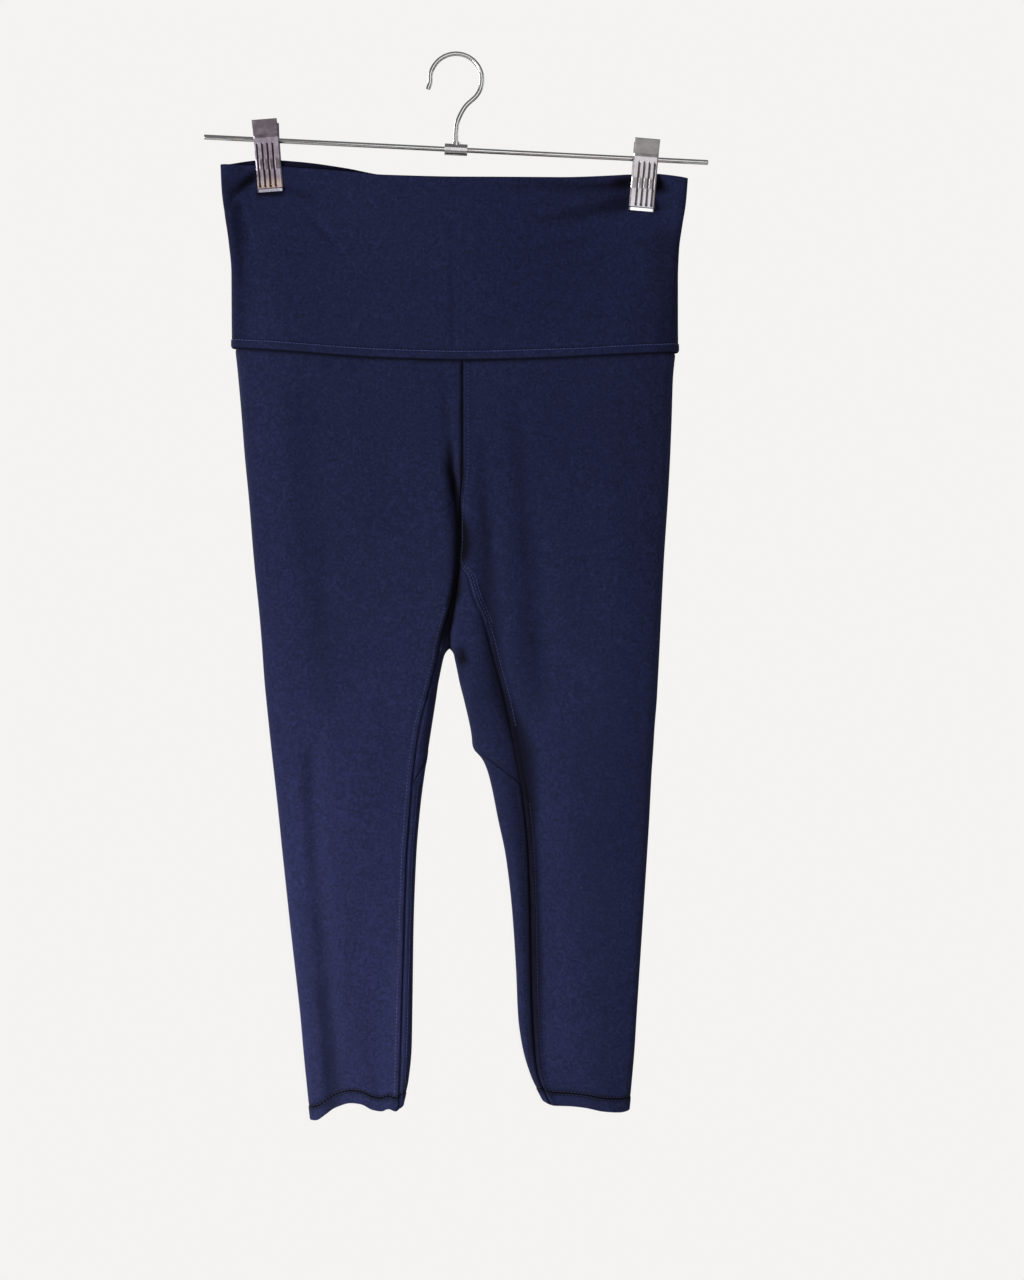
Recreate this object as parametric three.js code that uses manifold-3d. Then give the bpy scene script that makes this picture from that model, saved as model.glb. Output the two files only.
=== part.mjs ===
// Cropped high-waist leggings hanging from a two-clip metal hanger.
// Millimetres, +Z up, front of the garment towards -Y, the wearer's left leg towards +X.
// The origin is where a wardrobe rail carries the hook: the top of the hook's inside.
import * as THREE from "three";
import { mergeVertices } from "three/addons/utils/BufferGeometryUtils.js";
import Module from "manifold-3d";

const wasm = await Module();
wasm.setup();

// ---------------------------------------------------------------- driving dimensions

const SEAM_GAP = 0.3; // between two sewn pieces, and between a piece and what holds it
const LEG_CLOTH = 1.2; // one ply of brushed jersey
const BAND_CLOTH = 1.8; // the waistband is two plies
const BAND_LIP = 0.7; // how far the band's bottom margin stands proud of the legs
const BAND_LIP_HEIGHT = 7;
const HEM_TURN_UP = 10; // height of the turned-up hem
const HEM_STEP = 0.45; // how far the stitched-down hem stands proud

// Heights, measured down from the rail.
const WAIST_TOP = -95;
const WAIST_SEAM = -240;
const GUSSET_TOP = -404; // where the centre seams end and the gusset begins
const CROTCH = -474; // the lowest point of the gusset between the legs
const GUSSET_TIP = -582; // where the gusset's long ends run into the inseams
const HEM = -836;

// The hanger.
const BAR_Z = -75;
const BAR_RADIUS = 2;
const BAR_LENGTH = 404;
const BAR_TILT = THREE.MathUtils.degToRad(2.9); // the right end hangs lower
const HOOK_INSIDE_RADIUS = 19;
const HOOK_WIRE_RADIUS = 1.8;
const CLIP_WIDTH = 20;
const CLIP_DROP = 42; // from the bar's axis to the jaw's bottom lip
const PLATE = 1; // thickness of a clip's sheet metal
const PINCH = BAND_CLOTH + SEAM_GAP / 2; // half the cloth between two jaws

// ---------------------------------------------------------------- small helpers

const clamp01 = (t) => Math.min(1, Math.max(0, t));
const smooth = (t) => clamp01(t) ** 2 * (3 - 2 * clamp01(t));
const mix = (a, b, t) => a + (b - a) * t;
const bell = (t) => Math.exp(-t * t);

// Turns a short table with named columns into a function of its first column.
// Between two rows each column follows a monotone cubic, so it never overshoots.
function table(names, rows) {
  const sorted = [...rows].sort((a, b) => a[0] - b[0]);
  const at = sorted.map((row) => row[0]);
  const column = (k) => {
    const v = sorted.map((row) => row[k]);
    const secant = v.slice(1).map((value, i) => (value - v[i]) / (at[i + 1] - at[i]));
    const slope = v.map((_, i) => {
      if (i === 0 || i === v.length - 1) return secant[Math.min(i, secant.length - 1)];
      const [before, after] = [secant[i - 1], secant[i]];
      return before * after <= 0 ? 0 : (2 * before * after) / (before + after);
    });
    return (x) => {
      const t = Math.min(at[at.length - 1], Math.max(at[0], x));
      let i = 0;
      while (i < at.length - 2 && t > at[i + 1]) i += 1;
      const span = at[i + 1] - at[i];
      const u = (t - at[i]) / span;
      const [h00, h10] = [(1 + 2 * u) * (1 - u) ** 2, u * (1 - u) ** 2];
      const [h01, h11] = [u * u * (3 - 2 * u), u * u * (u - 1)];
      return h00 * v[i] + h10 * span * slope[i] + h01 * v[i + 1] + h11 * span * slope[i + 1];
    };
  };
  return Object.fromEntries(names.map((name, k) => [name, column(k + 1)]));
}

// The rounding of a flattened tube near its fold: 0 at the fold, 1 from `reach` on.
const ROUNDING = 2.3;
function rounding(distance, reach) {
  const t = 1 - clamp01(distance / reach);
  return (1 - t ** ROUNDING) ** (1 / ROUNDING);
}

// The same at an outer fold that is pressed flat: a tight round edge, then a slow rise.
const EDGE_SHARE = 0.45;
const EDGE_SLOPE = 50;
function flatEdge(distance, reach, slope) {
  const rise = Math.sin((Math.PI / 2) * clamp01(distance / slope));
  return EDGE_SHARE * rounding(distance, reach) + (1 - EDGE_SHARE) * rise;
}

// ---------------------------------------------------------------- the garment's sizes

// The waistband's side edges, and the half depth of the opening between the clips.
const BAND = table(["left", "right", "depth", "reach"], [
  [-95, -188.5, 185.6, 15, 7],
  [-115, -187.5, 184, 17.5, 8],
  [-135, -185, 181, 20, 8.5],
  [-155, -182, 178.5, 21.8, 9],
  [-180, -179.7, 177.6, 23.4, 9.5],
  [-210, -179.5, 177.6, 24.6, 10],
  [-240, -179.2, 177.8, 25.3, 10],
]);

// The waistband's top edge from side to side: the back rises above the front at one clip.
const WAIST_EDGE = table(["front", "back"], [
  [-188, -87, -86.5],
  [-150, -88, -83],
  [-125, -89.5, -84.5],
  [-89, -92.5, -89],
  [-57, -96, -94.5],
  [7, -98, -99.5],
  [83, -97.5, -99],
  [140, -95, -96],
  [160, -94.5, -95.5],
  [186, -98, -97.5],
]);

// The seam between the band and the legs sags between the side edges.
const WAIST_SEAM_LINE = table(["z"], [
  [-178, -234],
  [-125, -238.5],
  [-60, -243],
  [5, -244.8],
  [85, -242.8],
  [130, -240.5],
  [178, -237.5],
]);

// The line on which the legs meet, and half the width by which their rounded folds
// overlap there. Below the crotch the overlap is negative: it is half the gap.
const MIDDLE = table(["x", "overlap", "reach"], [
  [-240, 5.6, 90, 30],
  [-275, 5.6, 68, 30],
  [-291, 5.6, 46, 28],
  [-307, 5.6, 26, 23],
  [-323, 5.6, 14, 17],
  [-339, 5.2, 7, 13],
  [-355, 4, 3, 10],
  [-371, 4.2, 1.7, 9],
  [-387, 4.2, 1.4, 9],
  [-403, 3, 1.3, 9],
  [-419, 1.4, 1.2, 9],
  [-435, -0.6, 1.2, 9],
  [-451, -3.2, 1.1, 9],
  [-467, -5.2, 0.9, 9],
  [-474, -5.2, 0, 9],
  [-476, -5.2, -2, 9],
  [-479, -5.4, -3.7, 9.4],
  [-483, -5.6, -4.7, 10],
  [-499, -5.6, -8, 11],
  [-515, -4.8, -11.2, 12],
]);

// Each leg: its two side edges, its half depth, and how far the outer fold's rounding
// reaches. The inner edge counts below the crotch; above it MIDDLE takes over.
const LEG_COLUMNS = ["outer", "inner", "depth", "outerReach", "innerReach", "shift"];
const LEG_TABLES = {
  right: table(LEG_COLUMNS, [
    [-240, -176.6, 0, 24.6, 12, 30, 0],
    [-260, -174.4, 0, 25.2, 13, 30, 0],
    [-290, -171.5, 0, 25.5, 13, 30, 0],
    [-320, -169, 0, 25.3, 13, 20, 0],
    [-355, -165.6, 0, 24.5, 13, 10, 0],
    [-404, -161.6, 0, 23.3, 13, 9, 0],
    [-450, -157, 0, 22, 12, 9, 0],
    [-475, -155, -6.5, 21.3, 12, 9, 0],
    [-499, -153.4, -13.6, 20.8, 12, 9.4, 0],
    [-515, -152, -16, 20.4, 12, 10, 0],
    [-560, -147.5, -22.8, 19.4, 11, 11, -1],
    [-600, -143, -28.2, 18.4, 10, 11, -2],
    [-640, -138.8, -31.5, 17.4, 10, 11, -3],
    [-695, -132.9, -33.6, 16.2, 9, 11, -3],
    [-760, -125.6, -34.6, 15, 8, 10, -2],
    [-791, -122.4, -35.2, 14.4, 8, 10, -1],
    [-815, -119.3, -37.6, 13.6, 7.5, 10, 0],
    [-836, -116.6, -42.2, 13, 7, 10, 0],
  ]),
  left: table(LEG_COLUMNS, [
    [-240, 175.6, 0, 24.6, 10, 30, 0],
    [-260, 173.6, 0, 25.2, 10, 30, 0],
    [-290, 172.6, 0, 25.5, 10, 30, 0],
    [-320, 171.4, 0, 25.3, 10, 20, 0],
    [-355, 169.5, 0, 24.5, 10, 10, 0],
    [-404, 166.3, 0, 23.3, 10, 9, 0],
    [-450, 164, 0, 22, 10, 9, 0],
    [-475, 162.8, -3, 21.3, 10, 9, 0],
    [-499, 161.6, 2.4, 20.4, 9.5, 9.4, 0],
    [-515, 160.8, 6.4, 20.1, 9.5, 10, 0],
    [-539, 159, 11.8, 19.3, 9, 11, 0],
    [-553, 158.3, 14, 19, 9, 12, 1],
    [-563, 157.6, 21.5, 18.6, 9, 12, 1],
    [-575, 156.8, 26.2, 18.3, 9, 12, 1],
    [-611, 155, 33.8, 17.6, 8.5, 12, 2],
    [-640, 153.2, 39.8, 16.9, 8, 11, 2],
    [-683, 150.4, 44.8, 15.9, 7.5, 11, 2],
    [-731, 147.2, 48, 15.2, 7, 11, 1],
    [-767, 144.8, 49.6, 14.4, 7, 11, 0],
    [-791, 143.2, 52.8, 14, 6.5, 11, 0],
    [-815, 140.8, 59.5, 13.2, 6.5, 11, 0],
    [-836, 138.6, 69.5, 12.4, 6, 11, 0],
  ]),
};
// Below the crotch each leg is flatter towards its inner fold, and turned a little outwards.
const INNER_SHARE = 0.58;
const INNER_SHARE_REACH = 62;
const TURN = 0.11;

// Where each inseam shows on the front, from the height where it comes out of the valley
// between the legs, and how far round the inner fold the gusset reaches at the back.
const INSEAMS = {
  right: table(["x"], [
    [-447, -6.2],
    [-460, -9.4],
    [-475, -12.8],
    [-507, -20.8],
    [-539, -28.6],
    [-571, -33.2],
    [-603, -35.8],
    [-643, -38.6],
    [-715, -41],
    [-795, -43.6],
    [-836, -45.2],
  ]),
  left: table(["x"], [
    [-415, 8.4],
    [-435, 14.4],
    [-451, 21.6],
    [-467, 26.4],
    [-483, 30.4],
    [-515, 39],
    [-547, 45.6],
    [-571, 50.2],
    [-595, 54],
    [-635, 57.8],
    [-675, 59.4],
    [-755, 61],
    [-787, 62.6],
    [-815, 65.6],
    [-836, 76],
  ]),
};
const INSEAM_SHOWS = { right: -447, left: -415 };

// The gusset's back edge. `behind` is the length of cloth from the inner fold round to it,
// and `share` is how far it has come round from there towards the inseam on the front.
const GUSSET_BACK = {
  right: table(["behind", "share"], [
    [-404, 0, 0],
    [-430, 20, 0],
    [-474, 44, 0],
    [-515, 34, 0],
    [-536, 19, 0],
    [-550, 9, 0.1],
    [-564, 1, 0.42],
    [-582, 0, 1],
  ]),
  left: table(["behind", "share"], [
    [-404, 0, 0],
    [-430, 14, 0],
    [-474, 29, 0],
    [-515, 22, 0],
    [-536, 10, 0],
    [-548, 2, 0.04],
    [-558, 0, 0.24],
    [-570, 0, 0.6],
    [-582, 0, 1],
  ]),
};

// The bottom edge of each leg from side to side, measured from HEM.
const HEM_LINES = {
  right: table(["drop"], [
    [-117, -15.5],
    [-112, -15],
    [-104, -10],
    [-96, -4.5],
    [-84, -0.6],
    [-76, -1.4],
    [-66, -6],
    [-59, -7.2],
    [-54, -5.2],
    [-48, -7],
    [-42, -3],
  ]),
  left: table(["drop"], [
    [69, 1],
    [78, -2.4],
    [92, -3],
    [104, -4.4],
    [118, -7.4],
    [132, -8.6],
    [139, -7.6],
  ]),
};

// The largest folds: soft troughs down a leg's front (-1) or back (1), by height. Each
// is as wide to the left and right of its line as its columns say.
const FOLD_COLUMNS = ["x", "left", "right", "depth"];
const FOLDS = [
  {
    leg: "right",
    side: -1,
    ...table(FOLD_COLUMNS, [
      [-250, -114, 17, 15, 0],
      [-285, -117, 17, 15, 1.4],
      [-330, -118, 18, 15, 2.4],
      [-400, -117, 18, 14, 2.8],
      [-470, -115, 15, 12, 2.4],
      [-540, -116, 11, 10, 2.5],
      [-574, -117, 8, 9, 3],
      [-620, -113.5, 7, 9, 3.6],
      [-670, -110, 7, 10, 4],
      [-716, -106.5, 7, 10, 4.2],
      [-798, -100, 7, 10, 4.6],
      [-846, -96, 7, 10, 4.6],
    ]),
  },
  {
    leg: "left",
    side: -1,
    ...table(FOLD_COLUMNS, [
      [-300, 22, 5, 7, 0],
      [-345, 23.5, 5, 8, 1.6],
      [-400, 25, 6, 9, 3],
      [-451, 27.5, 7, 11, 3.8],
      [-480, 30.5, 7, 13, 4.4],
      [-504, 36, 8, 17, 5],
      [-545, 49, 10, 22, 6],
      [-600, 56, 9, 24, 5.8],
      [-655, 60.5, 8, 24, 5.2],
      [-737, 63, 8, 24, 4.6],
      [-798, 63, 8, 22, 4],
      [-828, 66, 8, 16, 0],
    ]),
  },
  {
    leg: "left",
    side: -1,
    ...table(FOLD_COLUMNS, [
      [-250, 50, 6, 12, 0],
      [-290, 51, 6, 13, 1.6],
      [-361, 56, 7, 15, 2.4],
      [-420, 61, 9, 16, 2.8],
      [-483, 67, 10, 16, 2.6],
      [-530, 68, 10, 14, 1.2],
      [-560, 68, 10, 14, 0],
    ]),
  },
  {
    leg: "right",
    side: 1,
    ...table(FOLD_COLUMNS, [
      [-290, -92, 16, 20, 0],
      [-420, -88, 16, 20, 3],
      [-620, -84, 13, 16, 2.6],
      [-720, -82, 13, 16, 0],
    ]),
  },
  {
    leg: "right",
    side: 1,
    ...table(FOLD_COLUMNS, [
      [-540, -56, 9, 14, 0],
      [-650, -62, 9, 14, 3.4],
      [-780, -70, 8, 12, 3.8],
      [-850, -74, 8, 12, 3],
    ]),
  },
  {
    leg: "left",
    side: 1,
    ...table(FOLD_COLUMNS, [
      [-290, 68, 16, 12, 0],
      [-420, 76, 16, 12, 3.2],
      [-600, 92, 14, 10, 2.6],
      [-700, 98, 14, 10, 0],
    ]),
  },
  {
    leg: "left",
    side: 1,
    ...table(FOLD_COLUMNS, [
      [-500, 120, 13, 10, 0],
      [-640, 114, 13, 9, 3],
      [-790, 106, 12, 9, 3.6],
      [-850, 103, 12, 9, 3],
    ]),
  },
];

// ---------------------------------------------------------------- the hanger's places

// A point on the bar's axis, by its place across the garment.
const onBar = (x) => new THREE.Vector3(x, 0, BAR_Z - Math.tan(BAR_TILT) * x);

// The two clips: where each one's loop sits on the bar, and how far it leans.
const CLIPS = [
  { name: "right", at: onBar(-151.4), lean: THREE.MathUtils.degToRad(4.5) },
  { name: "left", at: onBar(151.6), lean: THREE.MathUtils.degToRad(-5) },
];

// How far open the band is at a point: 0 between a clip's jaws, 1 far from both clips.
const PINCH_MARGIN = 4.5;
const PINCH_FADE = { inwards: 90, outwards: 20, down: 76 };
function openness(x, z) {
  return CLIPS.reduce((open, { at, lean }) => {
    const middle = at.x + Math.tan(lean) * (at.z - z);
    const out = Math.sign(at.x) * (x - middle);
    const fade = out > 0 ? PINCH_FADE.outwards : PINCH_FADE.inwards;
    const across = Math.max(0, Math.abs(out) - CLIP_WIDTH / 2 - PINCH_MARGIN) / fade;
    const below = Math.max(0, at.z - CLIP_DROP - PINCH_MARGIN - z) / PINCH_FADE.down;
    return open * (1 - bell(Math.hypot(across, below)));
  }, 1);
}

// ---------------------------------------------------------------- closed sections

const SECTION_STEPS = 240;

// Walks a flattened loop from its start fold along the front (-Y) to the end fold and
// back along the rear, as points with the length walked so far.
function loop(start, end, halfDepth, middle) {
  const points = [];
  const place = (k) => mix(start, end, (1 - Math.cos((Math.PI * k) / SECTION_STEPS)) / 2);
  const add = (x, side) => points.push({ x, side, y: middle(x) + side * halfDepth(x, side) });
  for (let k = 0; k <= SECTION_STEPS; k += 1) add(place(k), -1);
  for (let k = SECTION_STEPS - 1; k >= 0; k -= 1) add(place(k), 1);
  let run = 0;
  points.forEach((p, i) => {
    if (i > 0) run += Math.hypot(p.x - points[i - 1].x, p.y - points[i - 1].y);
    p.run = run;
  });
  return { points, total: run, half: points[SECTION_STEPS].run };
}

// The point of a loop at a length along it; lengths past either end go round again.
function along(section, run) {
  const { points, total } = section;
  const wrapped = run < 0 ? run + total : run > total ? run - total : run;
  let [low, high] = [0, points.length - 1];
  while (high - low > 1) {
    const half = (low + high) >> 1;
    if (points[half].run <= wrapped) low = half;
    else high = half;
  }
  const [a, b] = [points[low], points[high]];
  const t = clamp01((wrapped - a.run) / Math.max(1e-9, b.run - a.run));
  const side = wrapped < section.half ? -1 : 1;
  return { x: mix(a.x, b.x, t), y: mix(a.y, b.y, t), side };
}

// The length from the loop's start to where its front passes x.
function runAtX(section, x) {
  const front = section.points.slice(0, SECTION_STEPS + 1);
  const towards = Math.sign(front[SECTION_STEPS].x - front[0].x);
  const i = Math.max(1, front.findIndex((p) => (p.x - x) * towards >= 0));
  const [a, b] = [front[i - 1], front[i]];
  return mix(a.run, b.run, clamp01((x - a.x) / (b.x - a.x || 1)));
}

// How far a point of the band is moved up so that its edges follow their own lines.
function bandLift(x, z, side) {
  const edge = WAIST_EDGE[side < 0 ? "front" : "back"](x) - WAIST_TOP;
  const sag = WAIST_SEAM_LINE.z(x) - WAIST_SEAM;
  return mix(edge, sag, smooth((WAIST_TOP - z) / (WAIST_TOP - WAIST_SEAM)));
}

const bandSections = new Map();
function bandSection(z) {
  if (!bandSections.has(z)) {
    const [left, right, depth, reach] = [BAND.left(z), BAND.right(z), BAND.depth(z), BAND.reach(z)];
    const half = (x, side) => {
      const edge = Math.min(x - left, right - x);
      const open = openness(x, z + bandLift(x, z, side));
      return PINCH * rounding(edge, PINCH + 0.5) * (1 - open) + depth * flatEdge(edge, reach, EDGE_SLOPE) * open;
    };
    bandSections.set(z, loop(left, right, half, () => 0));
  }
  return bandSections.get(z);
}

const legSections = new Map();
function legSection(leg, z) {
  const key = `${leg} ${z}`;
  if (!legSections.has(key)) {
    const sizes = LEG_TABLES[leg];
    const towards = leg === "left" ? 1 : -1;
    const overlap = MIDDLE.overlap(z);
    const joined = z > CROTCH - 40;
    const inner = joined ? MIDDLE.x(z) - towards * overlap : sizes.inner(z);
    const innerReach = joined ? MIDDLE.reach(z) : sizes.innerReach(z);
    const [outer, depth, outerReach] = [sizes.outer(z), sizes.depth(z), sizes.outerReach(z)];
    const apart = smooth((CROTCH - z) / 110);
    const slope = Math.min(EDGE_SLOPE, 0.5 * Math.abs(outer - inner));
    const plateau = (x) => {
      const flatter = mix(INNER_SHARE, 1, smooth(Math.abs(x - inner) / INNER_SHARE_REACH));
      return depth * mix(1, flatter, apart);
    };
    const half = (x) =>
      plateau(x) * rounding(Math.abs(x - inner), innerReach) * flatEdge(Math.abs(outer - x), outerReach, slope);
    const turn = towards * TURN * apart;
    const centre = (x) => sizes.shift(z) + turn * (x - (inner + outer) / 2);
    const section = loop(inner, outer, half, centre);
    Object.assign(section, { plateau, centre });
    const middle = MIDDLE.x(z);
    section.cut = overlap > 0 ? runAtX(section, middle) : 0;
    section.trimmed = overlap > 0 ? runAtX(section, middle + (towards * SEAM_GAP) / 2) : 0;
    legSections.set(key, section);
  }
  return legSections.get(key);
}

// ---------------------------------------------------------------- seams

// The length from the inner fold to the front seam: the centre seam down to the gusset,
// then the gusset's front edge, then the inseam.
function frontSeam(leg, z) {
  const section = legSection(leg, z);
  if (z >= GUSSET_TOP) return section.cut;
  const shows = INSEAM_SHOWS[leg];
  if (z <= shows) return runAtX(section, INSEAMS[leg].x(z));
  const t = (GUSSET_TOP - z) / (GUSSET_TOP - shows);
  const top = legSection(leg, GUSSET_TOP).cut;
  const bottomSection = legSection(leg, shows);
  return mix(top, runAtX(bottomSection, INSEAMS[leg].x(shows)), t);
}

// The same for the back: negative lengths lie behind the inner fold.
function backSeam(leg, z) {
  const section = legSection(leg, z);
  if (z >= GUSSET_TOP) return -section.cut;
  if (z <= GUSSET_TIP) return frontSeam(leg, z);
  const { behind, share } = GUSSET_BACK[leg];
  const top = legSection(leg, GUSSET_TOP).cut * smooth((z - CROTCH) / (GUSSET_TOP - CROTCH));
  return mix(-top - behind(z), frontSeam(leg, z), share(z));
}

// ---------------------------------------------------------------- the cloth's surface

// How far the largest folds push a point of a leg inwards.
function foldDepth(leg, side, x, z) {
  return FOLDS.filter((fold) => fold.leg === leg && fold.side === side).reduce((sum, fold) => {
    const offset = x - fold.x(z);
    return sum + fold.depth(z) * bell(offset / (offset < 0 ? fold.left(z) : fold.right(z)));
  }, 0);
}

const SAG_REACH = 90; // how far below the waist seam its sag is still felt
const HEM_REACH = 70; // how far above the hem its wave is still felt

// A point of a leg's outer surface, by height and length of cloth from the inner fold.
function legPoint(leg, z, run) {
  const section = legSection(leg, z);
  const { x, y, side } = along(section, run);
  const depth = section.plateau(x);
  const middle = section.centre(x);
  const fullness = clamp01(Math.abs(y - middle) / depth) ** 2;
  const sunk = foldDepth(leg, side, x, z) * fullness;
  const sag = (WAIST_SEAM_LINE.z(x) - WAIST_SEAM) * smooth(1 - (WAIST_SEAM - z) / SAG_REACH);
  const back = side > 0 ? smooth(Math.abs(y - middle) / depth) : 0;
  const wave = HEM_LINES[leg].drop(x) * (1 - 0.5 * back) * smooth(1 - (z - HEM) / HEM_REACH);
  return new THREE.Vector3(x, y - side * sunk, z + sag + wave);
}

// A point of the band's outer surface.
function bandPoint(z, run) {
  const { x, y, side } = along(bandSection(z), run);
  return new THREE.Vector3(x, y, z + bandLift(x, z, side));
}

// ---------------------------------------------------------------- walls

// A node of a wall on a leg: its outer point, moved out by `proud`, and its inner point.
const NORMAL_STEP = 1.5;
function clothNode(leg, z, run, thickness, proud = 0) {
  const at = (dz, dr) => legPoint(leg, z + dz, run + dr);
  const down = at(-NORMAL_STEP, 0).sub(at(NORMAL_STEP, 0));
  const across = at(0, NORMAL_STEP).sub(at(0, -NORMAL_STEP));
  const normal = down.cross(across).normalize().multiplyScalar(leg === "left" ? 1 : -1);
  const point = legPoint(leg, z, run);
  return {
    outer: point.clone().addScaledVector(normal, proud),
    inner: point.clone().addScaledVector(normal, -thickness),
    normal,
  };
}

// Closes grids of nodes, each with an outer and an inner point, into one solid wall.
// Grids that share nodes are joined there; every other edge gets a rim.
function wall(...grids) {
  const position = [];
  const face = (...points) => points.forEach((p) => position.push(p.x, p.y, p.z));
  const key = ({ outer }) => outer.toArray().map((v) => Math.round(v * 1000)).join();
  const open = new Map();
  const edge = (a, b) => {
    if (!open.delete(`${key(b)} ${key(a)}`)) open.set(`${key(a)} ${key(b)}`, [a, b]);
  };
  const quad = (a, b, c, d) => {
    if (a.distanceTo(c) <= b.distanceTo(d)) {
      face(a, b, c);
      face(a, c, d);
    } else {
      face(a, b, d);
      face(b, c, d);
    }
  };
  for (const grid of grids)
    for (let i = 0; i < grid.length - 1; i += 1)
      for (let j = 0; j < grid[i].length - 1; j += 1) {
        const corners = [grid[i][j], grid[i + 1][j], grid[i + 1][j + 1], grid[i][j + 1]];
        quad(...corners.map((node) => node.outer));
        quad(...corners.map((node) => node.inner).reverse());
        corners.forEach((node, k) => edge(node, corners[(k + 1) % 4]));
      }
  for (const [a, b] of open.values()) {
    face(b.outer, a.outer, a.inner);
    face(b.outer, a.inner, b.inner);
  }
  const geometry = new THREE.BufferGeometry();
  geometry.setAttribute("position", new THREE.Float32BufferAttribute(position, 3));
  geometry.computeVertexNormals();
  return geometry;
}

// Lengths from one place on a section to another, closer together at its two folds and
// at any other given spots.
const CROWDING = { most: 5, reach: 15 };
function crowded(section, from, to, count, spots = []) {
  const steps = 240;
  const folds = [0, section.half, section.total].map((at) => ({ at, ...CROWDING }));
  const density = (run) =>
    1 + Math.max(...[...folds, ...spots].map(({ at, most, reach }) => most * bell((run - at) / reach)));
  const runs = range(from, to, steps);
  const passed = [0];
  for (let k = 1; k <= steps; k += 1) passed.push(passed[k - 1] + density((runs[k - 1] + runs[k]) / 2));
  return range(0, passed[steps], count).map((target) => {
    const i = Math.max(1, passed.findIndex((value) => value >= target - 1e-9));
    return mix(runs[i - 1], runs[i], clamp01((target - passed[i - 1]) / (passed[i] - passed[i - 1])));
  });
}

const range = (from, to, count) => Array.from({ length: count + 1 }, (_, k) => mix(from, to, k / count));

// ---------------------------------------------------------------- the sewn pieces

// Front or back of the waistband, from one side seam to the other.
function bandPanel(side, columns) {
  const lip = WAIST_SEAM + BAND_LIP_HEIGHT;
  const rows = [
    ...range(WAIST_TOP, -143, 6),
    ...range(-154, lip + 8, 5),
    lip + 1.2,
    lip,
    (lip + WAIST_SEAM) / 2,
    WAIST_SEAM + SEAM_GAP / 2,
  ];
  const grid = rows.map((z) => {
    const section = bandSection(z);
    const [from, to] =
      side < 0
        ? [SEAM_GAP / 2, section.half - SEAM_GAP / 2]
        : [section.half + SEAM_GAP / 2, section.total - SEAM_GAP / 2];
    const spots = CLIPS.map(({ at }) => {
      const run = runAtX(section, at.x);
      return { at: side < 0 ? run : section.total - run, most: 2.2, reach: 24 };
    });
    return crowded(section, from, to, columns, spots).map((run) => bandPoint(z, run));
  });
  // At the side seams the two halves face each other across the garment's middle plane.
  const keep = (p) => p.setY(side * Math.max(side * p.y, SEAM_GAP / 2));
  const near = (i, most, by) => Math.min(most - 1, Math.max(0, i + by));
  const nodes = grid.map((row, i) =>
    row.map((p, j) => {
      const down = grid[near(i, rows.length, 1)][j].clone().sub(grid[near(i, rows.length, -1)][j]);
      const across = row[near(j, row.length, 1)].clone().sub(row[near(j, row.length, -1)]);
      const normal = down.cross(across).normalize();
      const proud = rows[i] <= lip ? BAND_LIP : 0;
      return {
        outer: keep(p.clone().addScaledVector(normal, proud)),
        inner: keep(p.clone().addScaledVector(normal, -BAND_CLOTH)),
      };
    }),
  );
  return wall(nodes);
}

const GUSSET_START = 6; // the gusset's points stop this far short of the seams' crossings
const GUSSET_BEND = -536; // from here down its back edge comes round to the front
const GUSSET_ROWS = [
  ...range(GUSSET_TOP - GUSSET_START, -462, 4),
  -469,
  CROTCH,
  CROTCH - 2.5,
  CROTCH - 7,
  CROTCH - 16,
  ...range(-506, GUSSET_BEND, 2),
  ...range(GUSSET_BEND, GUSSET_TIP + GUSSET_START, 5).slice(1),
];
const LEG_ROWS = [
  ...range(WAIST_SEAM - SEAM_GAP / 2, -310, 4),
  ...range(-322, GUSSET_TOP, 5),
  ...GUSSET_ROWS,
  GUSSET_TIP,
  ...range(-594, -810, 8),
  HEM + HEM_TURN_UP + 6,
  HEM + HEM_TURN_UP + 0.8,
  HEM + HEM_TURN_UP,
  HEM + HEM_TURN_UP / 2,
  HEM,
];
const LEG_COUNTS = { front: 12, back: 11 };

// One leg: a single panel from the front seams, round the outside, to the back seams.
function legPanel(leg) {
  const grid = LEG_ROWS.map((z) => {
    const section = legSection(leg, z);
    const joined = z >= GUSSET_TOP;
    const from = joined ? section.trimmed : frontSeam(leg, z) + SEAM_GAP / 2;
    const to = section.total + (joined ? -section.trimmed : backSeam(leg, z) - SEAM_GAP / 2);
    const spots = FOLDS.filter((fold) => fold.leg === leg && fold.side < 0 && fold.depth(z) > 1.5).map(
      (fold) => ({ at: runAtX(section, fold.x(z)), most: 2.2, reach: 16 }));
    const runs = [
      ...crowded(section, from, section.half, LEG_COUNTS.front, spots),
      ...crowded(section, section.half, to, LEG_COUNTS.back).slice(1),
    ];
    const proud = z <= HEM + HEM_TURN_UP ? HEM_STEP : 0;
    const nodes = runs.map((run) => clothNode(leg, z, run, LEG_CLOTH, proud));
    return leg === "left" ? nodes : nodes.reverse();
  });
  return wall(grid);
}

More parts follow.
